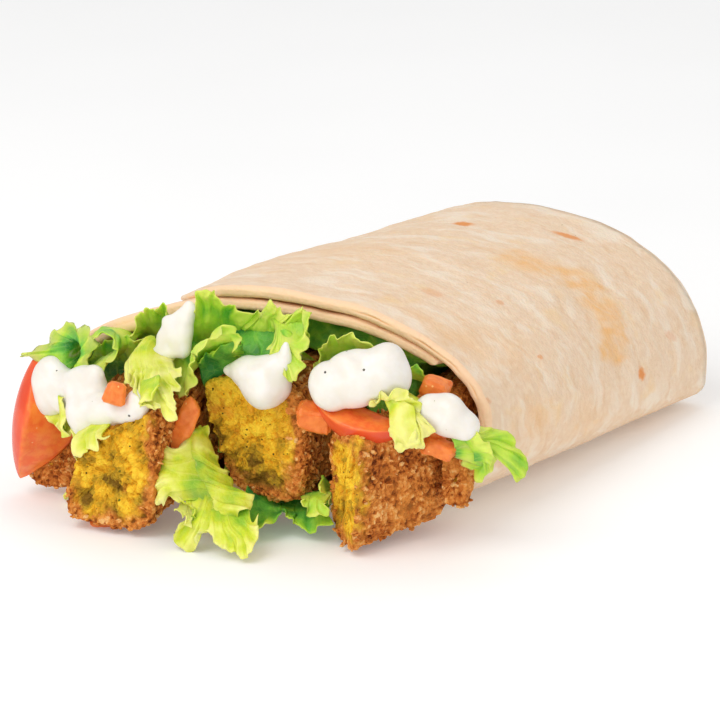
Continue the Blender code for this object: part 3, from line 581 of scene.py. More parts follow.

# ---------------------------------------------------------------- crumbed strips
# Sticks of spiced vegetable mash, coated in coarse golden crumbs and fried. Their near ends are broken across
# and show the yellow mash with its herbs; the rest is rough brown crust with loose flakes stuck to it.

# size is half the width and height; broken is how far the near end leans; near holds that end's corners;
# yellow is how bright the mash is, and how much brighter it is painted towards the top as painted light;
# bare is where the crust has come off.
STRIPS = {
    "strip_left": dict(
        path=[(-18, -28, 12.8), (-19, -10, 15.8), (-19, 6, 17.4), (-15, 45, 16.2), (-10, 88, 13.8)],
        size=(9.8, 11.4), broken=0.10, near=[(-10.4, -11.0), (9.0, -11.4), (-7.6, 3.8), (10.0, 14.2)],
        yellow=(0.36, 0.12), bare=(-0.6, 1.2)),
    "strip_middle": dict(
        path=[(3.2, -10.5, 17.2), (4, 6, 18.0), (5.5, 45, 16.4), (9.5, 88, 13.8)],
        size=(10.6, 11.6), broken=-0.08, near=[(-4.6, -10.8), (11.8, -10.6), (-12.8, 11.8), (11.6, 11.8)],
        yellow=(0.42, 0.74), bare=(-0.9, 0.8)),
    "strip_right": dict(
        path=[(25.6, -14, 12.6), (29.6, -6, 13.8), (33.4, 3, 14.2), (34.2, 9, 15.6), (32.6, 20, 16.6),
              (30.5, 45, 16.4), (28.5, 88, 13.8)],
        size=(5.9, 11.2), broken=-0.85, near=[(-4.6, -10.6), (4.6, -11.6), (-5.6, 10.4), (5.4, 11.6)],
        yellow=(0.60, 0.26), bare=(0.6, 0.0)),
    "strip_end": dict(
        path=[(-41.4, -13.5, 6.4), (-38.2, -4, 9.8), (-36.2, 8, 12.6), (-34.6, 22, 13.6)],
        size=(4.4, 5.0), broken=0.1, yellow=None),
    "strip_far_right": dict(
        path=[(43.0, -1.5, 13.4), (41.6, 6, 15.2), (40.0, 22, 16.0)],
        size=(2.6, 5.4), broken=0.1, taper=0.6, yellow=None),
}


def along(line, share):
    """Point at a share of the way along a smooth curve through the given points."""
    spans = len(line) - 1
    place = share * spans
    k = min(max(int(place), 0), spans - 1)
    t = place - k
    p1, p2 = Vector(line[k]), Vector(line[k + 1])
    p0 = Vector(line[k - 1]) if k > 0 else p1 * 2 - p2
    p3 = Vector(line[k + 2]) if k + 2 <= spans else p2 * 2 - p1
    return 0.5 * ((p1 * 2) + (p2 - p0) * t + (p0 * 2 - p1 * 5 + p2 * 4 - p3) * t * t
                  + (p1 * 3 - p0 - p2 * 3 + p3) * t ** 3)


CORNER_POWER, FINE_STEPS = 0.42, 4000


def squarish_outline(count):
    """Points evenly spaced round a square outline with round corners, from -1 to 1 across and up."""
    fine = []
    for i in range(FINE_STEPS):
        angle = 2 * math.pi * i / FINE_STEPS
        c, s = math.cos(angle), math.sin(angle)
        fine.append(Vector(math.copysign(abs(part) ** CORNER_POWER, part) for part in (c, s)))
    steps = [(fine[i - 1] - fine[i]).length for i in range(len(fine))]
    apart, gone, kept = sum(steps) / count, 0.0, []
    for point, step in zip(fine, steps):
        gone += step
        if gone >= apart * len(kept) and len(kept) < count:
            kept.append(point)
    return kept


def flakes(point, size):
    """Height from 0 to 1 of a coat of angular flakes of about this size: each has its own level and tilt."""
    near, places = noise.voronoi(point / size)
    own = places[0] * 5.3
    level = 0.5 + 0.75 * noise.noise(own)
    tilt = (point / size - places[0]).dot(noise.noise_vector(own)) * 1.1
    crack = min(1.0, (near[1] - near[0]) * 2.6)
    return max(0.0, min(1.0, level + tilt)) * (0.35 + 0.65 * crack)


def nuggets(point, size):
    """Height from 0 to 1 of rounded lumps of about this size, some standing higher than others."""
    near, places = noise.voronoi(point / size)
    own = 0.62 + 0.6 * noise.noise(places[0] * 5.3)
    return max(0.0, min(1.0, own)) * math.sqrt(max(0.0, 1 - (near[0] / 0.72) ** 2))


def crust_height(point):
    """Relief of the crumbs, from about 0 to 1."""
    return (0.42 * nuggets(point, 1.6) + 0.42 * flakes(point + Vector((7, 3, 1)), 1.0)
            + 0.15 * rough(point, 2.4) + 0.30 * nuggets(point + Vector((2, 8, 1)), 0.8)
            + 0.20 * rough(point, 5.0) + 0.05)


def mash_height(point):
    """Relief of the broken mash, in millimetres."""
    return (0.9 * rough(point, 5.0) + 1.5 * nuggets(point + Vector((1, 9, 5)), 2.9)
            + 1.0 * nuggets(point, 1.5) + 0.7 * flakes(point, 1.2) - 1.4)


STRIP_CLEARANCE = 1.6  # between a strip and the sheet's inner face


def keep_inside(point):
    """Moves a point that would run through the roll's side back inside it."""
    share = max(point.y, 0.0) / ROLL_LENGTH
    waist = mix(MOUTH_WAIST, END_WAIST, share)
    power = mix(*BASE_POWERS, share)
    low = min(max((waist - point.z) / (waist + BASE_SINK), 0.0), 1.0)
    across = math.copysign((1 - low ** power) ** (1 / power), point.x)
    limit = abs(across) * mix(MOUTH_HALF_WIDTH, END_HALF_WIDTH, share) - SHEET - STRIP_CLEARANCE
    over = max(0.0, abs(point.x - END_SHIFT * share) - limit)
    behind_lip = ease((point.y - MOUTH_SLANT * across * (1 - share) + 3.5) / 3.0)
    point.x -= math.copysign(over, point.x) * behind_lip
    return point


def in_corners(corners, u, v):
    """Point at u across and v up, from -1 to 1, between the two lower and the two upper corners."""
    low = corners[0].lerp(corners[1], (u + 1) / 2)
    high = corners[2].lerp(corners[3], (u + 1) / 2)
    return low.lerp(high, (v + 1) / 2)


ROUND_SPACING, RING_SPACING, HIDDEN_SPACING = 0.56, 0.46, 5.0
SEEN_LENGTH = 26.0  # the rest of a strip is deep in the roll
NEAR_SCALE = 0.95  # the near end is this much smaller, so that the strip's front edge is rounded
CRUMBS_FROM, CRUST_START = 0.60, 0.70  # how far out on the broken face loose crumbs and crust start
LEAN_LENGTH, BARE_LENGTH, BARE_DEPTH = 9.0, 3.5, 1.6
CRUST_RELIEF, CRUST_SINK = 1.25, 0.35


def crumbed_strip(path, size, broken, yellow, near=None, bare=(0.0, 0.0), taper=0.86):
    """Points, faces and carried values of a strip, closely spaced as far back as it can be seen."""
    length = (Vector(path[-1]) - Vector(path[0])).length
    around = int((size[0] + size[1]) * 8 / ROUND_SPACING)
    outline = squarish_outline(around)
    square = [Vector((u * size[0], v * size[1])) for v in (-1, 1) for u in (-1, 1)]
    face = [Vector(corner) for corner in near] if near else square
    points, crust, height, bright = [], [], [], []

    def section(mark, scale, coat):
        """One ring: coat is how much of it is crust, from 0 on the broken face to 1."""
        centre = along(path, mark / length)
        narrow = scale * mix(1.0, taper, mark / length)
        corners = [a.lerp(b, ease(mark / SEEN_LENGTH)) for a, b in zip(face, square)]
        for u, v in outline:
            x, z = in_corners(corners, u, v) * narrow
            point = centre + Vector((x, broken * x * max(0.0, 1 - mark / LEAN_LENGTH), z))
            away = Vector((u, 0, v)).normalized()
            lost = BARE_DEPTH * ease(u * bare[0] + v * bare[1] - 0.2) * ease(1.2 - mark / BARE_LENGTH)
            coated = coat
            if coat > 0.0 and (coat < 1.0 or lost > 0):
                coated = ease(coat - lost + 0.8 * rough(point, 2.4))
            lumps, crumbs = mash_height(point), crust_height(point)
            out = Vector((0, -1, 0)).lerp(away, ease(mark / 1.6))
            points.append(keep_inside(point + out * mix(lumps, crumbs * CRUST_RELIEF - CRUST_SINK, coated)))
            crust.append(float(coated))
            # The height also sets the colour, as painted shade in the hollows and painted light on the tips.
            height.append(float(mix(0.5 + 0.33 * lumps, crumbs, coated)))
            # The mash is painted brighter towards the top of the broken face, as painted light.
            lit = yellow[0] + yellow[1] * v * scale + 0.5 * rough(point, 4.0) if yellow else 0.5
            bright.append(float(lit))

    face_rings = int(min(size) / RING_SPACING)
    for k in range(1, face_rings):
        share = k / face_rings
        coat = 0.0 if yellow else 1.0
        if yellow and share > CRUMBS_FROM:
            coat = max(0.001, (share - CRUST_START) / 0.26)
        section(0.0, NEAR_SCALE * share, coat)
    for k in range(4):
        turn = math.radians(90 * k / 4)
        section(1 - math.cos(turn), mix(NEAR_SCALE, 1.0, math.sin(turn)), 1.0)
    marks = [1.0]
    while marks[-1] < length:
        marks.append(marks[-1] + (RING_SPACING if marks[-1] < SEEN_LENGTH else HIDDEN_SPACING))
    marks[-1] = length
    for mark in marks:
        section(mark, 1.0, 1.0)
    rows = len(points) // around
    faces = ring_faces(0, around, rows)
    for row, tip in ((0, along(path, 0.0)), (rows - 1, along(path, 1.0))):
        value = mash_height(tip) if row == 0 else 0.0
        faces += tip_fan(points, row * around, around, tip - Vector((0, value, 0)))
        crust.append(0.0 if row == 0 else 1.0)
        height.append(0.5 + 0.33 * value)
        bright.append(0.5)
    return points, faces, {"crust": crust, "height": height, "bright": bright}


def stick_on(draw, points, faces, carried, sites, sizes):
    """Adds small angular flakes of crumb to a mesh at the given places, each with its direction outwards."""
    ball = bmesh.new()
    bmesh.ops.create_icosphere(ball, subdivisions=1, radius=0.5)
    ball.verts.ensure_lookup_table()
    corners = [v.co.copy() for v in ball.verts]
    sides = [tuple(v.index for v in f.verts) for f in ball.faces]
    ball.free()
    for place, out in sites:
        start = len(points)
        big = draw.uniform(*sizes)
        spread = Vector((big, big * draw.uniform(0.5, 1.0), big * draw.uniform(0.3, 0.65)))
        angle = draw.uniform(0, 6.28)
        axis = Vector([draw.uniform(-1, 1) for _ in range(3)]).normalized()
        turn = Matrix.Rotation(angle, 3, axis)
        for corner in corners:
            flake = Vector(c * s * draw.uniform(0.7, 1.25) for c, s in zip(corner, spread))
            points.append(place + out * (0.12 * big) + turn @ flake)
        faces += [tuple(start + i for i in side) for side in sides]
        tone = draw.uniform(0.25, 0.95)
        for key, value in (("crust", 1.0), ("height", tone), ("bright", 0.5)):
            carried[key] += [value] * len(corners)


def set_ramp(ramp, *stops):
    """Gives a colour ramp its stops: place, red, green and blue."""
    elements = ramp.color_ramp.elements
    elements.remove(elements[1])
    for k, (at, *shade) in enumerate(stops):
        stop = elements[0] if k == 0 else elements.new(at)
        stop.position = at
        stop.color = rgb(*shade)


crumb_crust, tree, shader = new_finish(
    "crumb_crust", Roughness=0.62, Specular_IOR_Level=0.1, Subsurface_Weight=0.08,
    Subsurface_Radius=(1.0, 0.45, 0.15), Subsurface_Scale=0.001)
place = in_millimetres(tree)
height = painted(tree, "height")
speckle = cloudy(tree, place, 0.9, 4.0).outputs[0]
# Painted shade and light: the crust is darker in its hollows and more golden on its tips.
tone = times_plus(tree, speckle, 1.1, sum_up(tree, "SUBTRACT", height, 0.5))
warped = strayed(tree, place, 1.1, 3.0, (0.7, 0.7, 0.7))


def bits(tree, place, size, strength, level):
    """A level that varies from one crumb or lump of this size to the next."""
    cells = add_node(tree, "ShaderNodeTexVoronoi", {"Vector": place, "Scale": 1.0 / size}).outputs["Color"]
    chance = add_node(tree, "ShaderNodeSeparateColor", {0: cells}).outputs[0]
    return times_plus(tree, chance, strength, sum_up(tree, "SUBTRACT", level, strength / 2))


fried = add_node(tree, "ShaderNodeValToRGB", {0: bits(tree, warped, 0.8, 0.42, tone)})
set_ramp(fried, (0.10, 0.16, 0.035, 0.007), (0.34, 0.42, 0.115, 0.018), (0.58, 0.62, 0.20, 0.035),
         (0.82, 0.78, 0.33, 0.080), (1.0, 0.88, 0.52, 0.20))
patch = patchy(tree, place, 3.2, 0.2, 0.8, 4.0)
level = times_plus(tree, patch, 0.55, sum_up(tree, "SUBTRACT", painted(tree, "bright"), 0.2))
# Painted shade: the mash is darker in the hollows of its relief.
level = times_plus(tree, height, 0.50, sum_up(tree, "SUBTRACT", level, 0.13))
level = bits(tree, warped, 2.2, 0.40, bits(tree, warped, 1.0, 0.25, level))
mash = add_node(tree, "ShaderNodeValToRGB", {0: level})
set_ramp(mash, (0.0, 0.22, 0.115, 0.012), (0.14, 0.38, 0.225, 0.018), (0.36, 0.56, 0.34, 0.024),
         (0.62, 0.80, 0.43, 0.022), (0.92, 0.94, 0.62, 0.045))
rusty = part_of(tree, patchy(tree, place, 4.0, 0.56, 0.70, 3.0), 0.6)
mash_colour = blend(tree, rusty, mash.outputs[0], rgb(0.80, 0.33, 0.035))
mash_colour = blend(tree, speckled(tree, warped, 2.2, 0.32, 0.14), mash_colour, rgb(0.12, 0.15, 0.012))
mash_colour = blend(tree, speckled(tree, place, 1.1, 0.20, 0.20), mash_colour, rgb(0.09, 0.06, 0.012))
golden = part_of(tree, patchy(tree, place, 6.5, 0.45, 0.68, 3.0), 0.45)
fried_colour = blend(tree, golden, fried.outputs[0], rgb(0.78, 0.32, 0.060))
paint(tree, shader, blend(tree, painted(tree, "crust"), mash_colour, fried_colour))
grit = add_node(tree, "ShaderNodeTexVoronoi", {"Vector": place, "Scale": 1.7}).outputs["Distance"]
raise_grain(tree, shader, sum_up(tree, "ADD", grit, speckle), 0.8, 0.35)

FLAKE_SHARE, FLAKE_SIZES = 0.022, (0.5, 1.9)  # flakes to each face of the mesh, and their sizes
FLAKES_BACK_TO = 16.0

for seed, (name, how) in enumerate(STRIPS.items()):
    draw = random.Random(40 + seed)
    points, faces, carried = crumbed_strip(**how)
    coated = [f for f in faces if carried["crust"][f[0]] > 0.3 and points[f[0]].y < FLAKES_BACK_TO]
    sites = []
    for face in draw.sample(coated, int(len(coated) * FLAKE_SHARE)):
        a, b, c = (points[i] for i in face[:3])
        out = (b - a).cross(c - a).normalized()
        centre = along(how["path"], 0.0)
        if out.dot(Vector((a.x - centre.x, 0, a.z - centre.z))) < 0:
            out = -out
        sites.append((a, out))
    stick_on(draw, points, faces, carried, sites, FLAKE_SIZES)
    set_down(name, name + "_crumbed", crumb_crust, points, faces, carried, smooth=False)

# ---------------------------------------------------------------- lettuce
# Frilly green lettuce, torn into leaves that hang out of the mouth over and between the strips. Each leaf is
# thin, puckered, and palest along its ribs, and its rim is gathered into small frills. More of it is packed
# behind them.

LEAF_THICKNESS = 0.42

# A leaf runs from its hidden root line over a middle line to its rim. green is its tone at the root and at
# the rim, from 0, dark, to 1, pale; buckle is how deep its folds are. Each leaf's place in this table seeds
# its frills.
LEAVES = {
    "leaf_top": dict(
        root=[(-15, -3, 26.5), (-12, 0, 28), (-6, 2, 29), (2, 3, 30), (10, 3, 31)],
        middle=[(-12.5, -9, 31), (-9.5, -6, 36), (-4, -4, 36.5), (3, -4, 36), (10, -4, 35.5)],
        rim=[(-11, -12.5, 33), (-10, -12, 40), (-8.5, -11, 45), (-6.5, -10, 46.5), (-4.5, -9, 44),
             (-2, -8, 42.5), (3, -7, 42.5), (5.5, -7.5, 43.5), (7, -8, 46), (8.5, -7, 43), (11.5, -7, 43.5),
             (13.5, -8, 45.5), (13.5, -7, 40.5), (12.5, -7, 37)],
        green=(0.30, 0.80)),
    "leaf_top_lobe": dict(
        root=[(6, -7, 41.5), (9, -7, 41), (13, -7, 42)],
        middle=[(8.5, -10, 39.5), (11, -11, 38.5), (14.5, -9.5, 39.5)],
        rim=[(8.5, -12, 38), (11, -13.5, 34.5), (14.5, -14.5, 32), (15.5, -13.5, 34), (16, -12.5, 37.5),
             (16, -11, 41), (14.5, -9, 45.5)],
        green=(0.65, 0.85)),
    # A dark lobe under the top leaf: its dark tone is painted shade.
    "leaf_top_hollow_in_shade": dict(
        root=[(-8, -4, 38.5), (-1, -3.5, 40), (7, -4, 40)],
        middle=[(-7, -6, 37), (-1, -6, 37), (7.5, -7, 37.5)],
        rim=[(-5, -9, 35), (0.5, -10, 33.5), (6, -10, 34), (10, -10, 35.5)],
        green=(0.15, 0.35)),
    "leaf_fold": dict(
        root=[(-10, -11.5, 26), (-9.5, -11, 29.5), (-7.5, -10, 31.5), (-3.5, -9, 33.5), (0.5, -9, 35)],
        middle=[(-8.5, -15, 28), (-7.5, -15.5, 33), (-6, -14.5, 36), (-2.5, -13.5, 37.5), (1.5, -12, 38)],
        rim=[(-6, -17.5, 27), (-5, -18, 31.5), (-5, -18, 34.5), (-3.5, -18, 37), (-1, -17, 38.5),
             (0.5, -16, 41), (2, -15, 40.5), (3, -14, 37.5), (2, -13.5, 35.5)],
        green=(0.60, 0.90)),
    # A dark lobe behind the fold: its dark tone is painted shade.
    "leaf_fold_hollow_in_shade": dict(
        root=[(-8, -9, 26), (-4, -8, 29), (1, -7, 33)],
        middle=[(-8, -11, 29), (-4, -10, 32), (1, -9, 35)],
        rim=[(-7, -13.5, 32), (-3.5, -13, 35.5), (2.5, -11.5, 37.5)],
        green=(0.05, 0.20)),
    "leaf_narrow": dict(
        root=[(9, -9, 40), (10, -9.5, 36.5), (11.5, -11, 33)],
        middle=[(10.5, -10, 40.5), (11.5, -10.5, 37), (12.5, -11.5, 33)],
        rim=[(12, -9, 39.5), (13.5, -9.5, 37), (14, -11, 32.5)],
        green=(0.5, 0.75)),
    "leaf_left_curl": dict(
        root=[(-31, -6, 34), (-28, -5, 33.5), (-26, -5, 31), (-29, -8, 28)],
        middle=[(-30, -12, 35.5), (-27, -11, 34.8), (-25.5, -11, 32), (-29.5, -14, 29.5)],
        rim=[(-29.5, -16.5, 35.3), (-26.5, -17, 35.6), (-24.4, -16.5, 35.3), (-23.6, -17, 33),
             (-24.5, -18, 30.3), (-26.5, -19, 29.3), (-28.5, -20, 28), (-30, -21.5, 25.8),
             (-31.2, -21.5, 26.5)],
        green=(0.45, 0.85), buckle=0.9),
    # Its root, inside the curl, is dark as painted shade.
    "leaf_curl_tube": dict(
        root=[(-33.5, -12, 29.5), (-34.5, -12, 31.2), (-33, -12, 32.5), (-31.8, -12, 31.2),
              (-32.5, -12, 29.5)],
        middle=[(-33.4, -18.5, 28.2), (-35.2, -18, 29.8), (-35.0, -17.5, 33), (-32.9, -17, 34.2),
                (-30.9, -17.5, 33), (-30.8, -18.5, 30.6), (-32.2, -19, 28.4)],
        rim=[(-34.5, -19.5, 27.4), (-40, -17.5, 28.6), (-46.5, -15.5, 29.0), (-42.5, -15.5, 30.5),
             (-39.4, -15.5, 33.2), (-37.5, -15, 35.8), (-33.5, -15, 36.4), (-29, -16, 35.4),
             (-28.6, -18, 31), (-30, -20.5, 26.5), (-31.6, -20.5, 27.2)],
        green=(-0.1, 0.95), buckle=0.4),
    "leaf_dark_left": dict(
        root=[(-37, -4, 19), (-34, -3, 19), (-30, -2, 20), (-24, -2, 20)],
        middle=[(-37, -8, 25), (-33, -8, 27), (-28, -7, 28), (-22, -6, 28)],
        rim=[(-36.5, -12, 29), (-33, -11, 31.5), (-28, -10, 33), (-24, -9, 34), (-20, -8, 34.5)],
        green=(0.25, 0.60)),
    "leaf_small_frill": dict(
        root=[(-28, 0, 28), (-25, 1, 29), (-21, 0, 30), (-17, 0, 30)],
        middle=[(-26.5, -4, 32), (-24, -4, 34), (-20, -4, 35), (-17, -4, 35)],
        rim=[(-27.5, -7, 31.5), (-25, -8, 33), (-23.8, -8, 37), (-22, -8, 40), (-20, -8.5, 39),
             (-17.8, -9, 41), (-16, -8, 39), (-16, -8.5, 36)],
        green=(0.45, 0.85)),
    "leaf_over_sauce": dict(
        root=[(-22, -12, 31.5), (-20, -11, 35), (-17, -10.5, 34.5), (-14, -9.5, 32.5)],
        middle=[(-21, -17, 30.5), (-17.5, -19, 32.5), (-13, -19, 32.5), (-10, -17, 32.5)],
        rim=[(-19.5, -20, 28), (-17, -22.5, 29), (-14, -25.5, 28.5), (-11.5, -27.5, 29.5),
             (-9.5, -28.5, 28), (-6, -29.5, 27.5), (-3, -30, 25.5), (-2.5, -29, 28), (-3.5, -27.5, 29.5),
             (-5, -24, 31.5), (-7.5, -19, 33.5)],
        green=(0.70, 0.95), buckle=2.3),
    "leaf_over_fold": dict(
        root=[(-13, -24, 31), (-11, -25, 31.5), (-9, -24, 32.5)],
        middle=[(-11.5, -27, 29.5), (-9, -28, 30.5), (-7.5, -26.5, 32)],
        rim=[(-10, -29.5, 27.5), (-8, -30.5, 29), (-6.5, -29.5, 31.5)],
        green=(0.35, 0.90)),
    "leaf_right_of_top": dict(
        root=[(13, -2, 30), (17, -1, 32), (22, 0, 33), (26, 1, 33)],
        middle=[(14.5, -5, 33), (18, -4.5, 37), (22.5, -4, 38), (26, -3, 37)],
        rim=[(15, -8, 33.5), (16.5, -8, 37), (19, -7.5, 40), (22.5, -7, 40.5), (26, -5.5, 40),
             (28, -5, 37.5)],
        green=(0.45, 0.80)),
    "leaf_hanging": dict(
        root=[(-5.5, -15, 20.5), (-3.5, -17, 17.5), (-1.5, -19, 14), (1, -21, 11), (5, -22, 8.5)],
        middle=[(-5.5, -17, 20.3), (-5.5, -21, 17.5), (-6, -24.5, 14.5), (-4, -26, 11.5), (0, -26, 9.5)],
        rim=[(-6, -17.5, 20), (-7.5, -20.5, 17), (-9.5, -22.5, 18.3), (-11, -23.5, 17.5), (-11.3, -24, 15),
             (-12.5, -24.5, 13.5), (-10.5, -25.5, 12.3), (-10.8, -25.5, 10), (-9, -26.5, 7.5),
             (-6.5, -27, 8), (-5, -27, 9.5), (-2, -27, 9.5)],
        green=(0.48, 0.74)),
    "leaf_hanging_flank": dict(
        root=[(-6.5, -17.5, 20.3), (-5.5, -20, 17), (-4, -22, 14), (-3, -24, 11), (-1, -25, 8)],
        middle=[(-5, -17, 20.5), (-2.5, -19.5, 17), (-0.5, -21, 13.5), (2, -23, 10.5), (4, -25, 7)],
        rim=[(-4.3, -14, 20.5), (-3, -14.5, 16.5), (-1, -15.5, 13.5), (2, -17, 10.8), (5.5, -18.5, 9.5),
             (9, -20, 9), (9.5, -22, 8), (8.5, -24, 7.5), (6.5, -26, 6)],
        green=(0.50, 0.66)),
    "leaf_hanging_foot": dict(
        root=[(-4, -23, 12.5), (-1, -23, 11), (3.5, -23, 9)],
        middle=[(-2, -26.5, 9), (1, -27, 7.3), (4, -27, 6)],
        rim=[(-3.5, -26.5, 10), (-0.5, -27.5, 9), (1, -28.5, 7), (-0.5, -29, 5.3), (-2, -29.5, 4),
             (-2.7, -29.5, 2), (-1.5, -29.5, 0.8), (0.5, -29.5, 0.8), (1.8, -29, 1.8), (2.5, -28.5, 4),
             (5, -28, 4.5)],
        green=(0.45, 0.72)),
    "leaf_hanging_toe": dict(
        root=[(0, -22, 9.5), (3.5, -22, 8.5), (8, -20, 8.5)],
        middle=[(4, -26.5, 6.8), (8, -26, 5.5), (11, -23.5, 6.5)],
        rim=[(4, -28, 4.8), (6.5, -28.5, 4), (7.5, -29, 2.3), (9, -29.5, 1.6), (11, -29.5, 2),
             (11.5, -29.5, 0.8), (13.3, -29.5, 0.8), (14.2, -28.5, 2.5), (14.2, -27, 4.5), (14.2, -25, 5.8),
             (12, -22, 7)],
        green=(0.25, 0.66)),
    "leaf_hanging_curl": dict(
        root=[(-3.5, -25.5, 8.5), (-0.5, -26, 7.5)],
        middle=[(-3.3, -27, 7.6), (0, -27.5, 6.5)],
        rim=[(-3.5, -28, 7), (-1.5, -29, 7.6), (0.3, -29.5, 6.5), (0.5, -29.3, 4.8)],
        green=(0.75, 1.0)),
    "leaf_under": dict(
        root=[(2, -10, 8), (7, -4, 5.5), (12, -2, 6), (18, -1, 7)],
        middle=[(4.5, -16, 5.5), (8.5, -9, 4.3), (13, -8, 4.6), (19, -8, 5.5)],
        rim=[(7.5, -22, 1.5), (10.5, -18, 3), (12, -14.5, 5), (14.3, -13.5, 3.2), (16.5, -13.5, 2.2),
             (20, -13.5, 2.6), (22.3, -12.5, 4.5)],
        green=(0.10, 0.45)),
    "leaf_under_lobe": dict(
        root=[(13.5, -9, 8), (17, -9, 8.7), (20.5, -9, 9.5)],
        middle=[(15.5, -12.5, 8), (18, -13, 8.3), (21, -13, 8.5)],
        rim=[(17, -14.5, 9), (18, -15.5, 7), (20.5, -16, 6), (22.5, -15.5, 6.5), (23, -14.5, 9)],
        green=(0.50, 0.75)),
    "leaf_pale_right": dict(
        root=[(31, -7, 30.5), (33, -6, 31), (36, -5, 30), (39, -5, 28)],
        middle=[(31.5, -10.5, 30.5), (34.5, -10.5, 31), (38, -10, 30), (40.5, -9.5, 26.5)],
        rim=[(31, -14, 29.5), (33, -13, 32.5), (37, -12, 32.8), (39.5, -11.5, 31.5), (40.5, -11, 29),
             (42.5, -11, 27.5), (43, -12.5, 24), (41.5, -14, 22.3), (38.5, -14.5, 22), (36, -14.5, 23.5),
             (35.5, -14.5, 27)],
        green=(0.80, 1.0)),
    "leaf_far_right": dict(
        root=[(45, -8.5, 25), (46, -8, 23), (46, -7, 20)],
        middle=[(48.5, -6, 26), (50.5, -4, 22), (49.5, -4.5, 18)],
        rim=[(46, -6, 26), (48.5, -3.5, 26), (51, -1, 25), (53.5, 0, 23.3), (55, 0.5, 20.5),
             (56.8, 0.5, 17.5), (56.8, 0, 15), (55, 0, 14.5), (53.5, 0, 17), (51.5, -0.5, 18.3),
             (49.8, -2, 15.5), (48, -3, 14), (47.2, -4, 16), (46, -5, 19)],
        green=(0.50, 0.80)),
    "leaf_far_frill": dict(
        root=[(47, -7.5, 24.5), (48.5, -6, 22), (48.5, -5, 19)],
        middle=[(49, -7, 24.5), (50.5, -6, 22), (50.5, -5, 19)],
        rim=[(50, -6.5, 26), (51.5, -6, 24), (53, -4.5, 22), (52.5, -4.5, 19.5), (51.5, -4, 17.5)],
        green=(0.55, 0.90)),
    "leaf_low_frill": dict(
        root=[(-37, -15, 22), (-31, -16, 22), (-25, -18, 22), (-18, -20, 23)],
        middle=[(-38, -18, 20.5), (-32, -19.5, 20), (-26, -24.5, 19.3), (-19, -28.5, 21.5)],
        rim=[(-38.5, -20, 19), (-35.5, -21.5, 17), (-32.5, -22.5, 16), (-30, -23.5, 17.3),
             (-27.5, -26, 15.5), (-25.3, -29, 14.5), (-22.5, -31, 16), (-20, -31.4, 18), (-18.5, -31.4, 20),
             (-16, -31.2, 21.5)],
        green=(0.60, 0.88), buckle=2.2),
    "leaf_low_strand": dict(
        root=[(-34, -20.5, 24), (-33.5, -21, 20), (-32.5, -22, 16.5)],
        middle=[(-33, -22.5, 24.3), (-32.5, -23, 20.3), (-31.5, -24, 16.5)],
        rim=[(-31.8, -22.5, 24.3), (-31, -23.5, 20.5), (-30.3, -24, 17)],
        green=(0.5, 0.85), buckle=0.6),
    "leaf_low_left": dict(
        root=[(-29, -18, 5), (-28.5, -11, 5)],
        middle=[(-33, -18, 3.4), (-32, -12, 3.6)],
        rim=[(-35.5, -18, 1.6), (-35.5, -13, 1.6)],
        green=(0.7, 0.9)),
    "leaf_between": dict(
        root=[(17.5, -8, 12), (18.5, -4, 7)],
        middle=[(18.5, -10, 12), (19.5, -7, 7)],
        rim=[(19.5, -12, 11.5), (20.5, -10, 7)],
        green=(0.7, 0.9)),
    "leaf_behind_sauce": dict(
        root=[(31, 2, 31), (36, 4, 30)],
        middle=[(31, 0, 33), (36, 1, 32)],
        rim=[(31, -3, 35), (36, -2, 34)],
        green=(0.4, 0.6)),
    "leaf_fold_left": dict(
        root=[(-15, -7, 34), (-12, -8, 35), (-9, -8, 34)],
        middle=[(-14.5, -10.5, 30), (-12, -11.5, 30), (-9.5, -11, 30)],
        rim=[(-14, -12, 26), (-12.5, -13.5, 24.5), (-11, -14, 23.5), (-9.5, -13, 26)],
        green=(0.40, 0.75)),
    # A dark leaf in the gap beside the middle strip's broken end: its dark tone is painted shade.
    "leaf_under_left_in_shade": dict(
        root=[(-10, 2, 22), (-8, 2, 14), (-3, 2, 7)],
        middle=[(-8.5, -3, 21), (-6.5, -3, 13), (-1, -3, 6.5)],
        rim=[(-7, -8, 20), (-4.5, -8.5, 12.5), (0, -9, 7.5), (4, -10, 5.5)],
        green=(0.0, 0.25), buckle=0.6),
    "leaf_pale_fill": dict(
        root=[(33, -11.5, 30.5), (36, -11.2, 31), (39, -10.8, 30)],
        middle=[(34.5, -12.8, 28), (37.5, -12.8, 28), (40.5, -12, 27.5)],
        rim=[(36, -14.3, 24.5), (39, -14.3, 22.8), (42, -13, 24)],
        green=(0.60, 0.85), buckle=2.2),
}
LOBES = {  # lobes and folds of another leaf, which stand for its node with it
    "leaf_top": ("leaf_top_lobe", "leaf_top_hollow_in_shade", "leaf_narrow"),
    "leaf_fold": ("leaf_fold_hollow_in_shade", "leaf_fold_left"),
    "leaf_left_curl": ("leaf_curl_tube",),
    "leaf_over_sauce": ("leaf_over_fold",),
    "leaf_hanging": ("leaf_hanging_flank", "leaf_hanging_foot", "leaf_hanging_toe", "leaf_hanging_curl"),
    "leaf_under": ("leaf_under_lobe", "leaf_under_left_in_shade"),
    "leaf_pale_right": ("leaf_pale_fill",),
    "leaf_far_right": ("leaf_far_frill",),
    "leaf_low_frill": ("leaf_low_strand",),
}
STANDS_FOR = {lobe: leaf for leaf, lobes in LOBES.items() for lobe in lobes}
PALE_LEAVES = ("leaf_over_sauce", "leaf_hanging", "leaf_pale_right", "leaf_low_frill", "leaf_low_left")


CURVE_STEPS = 400


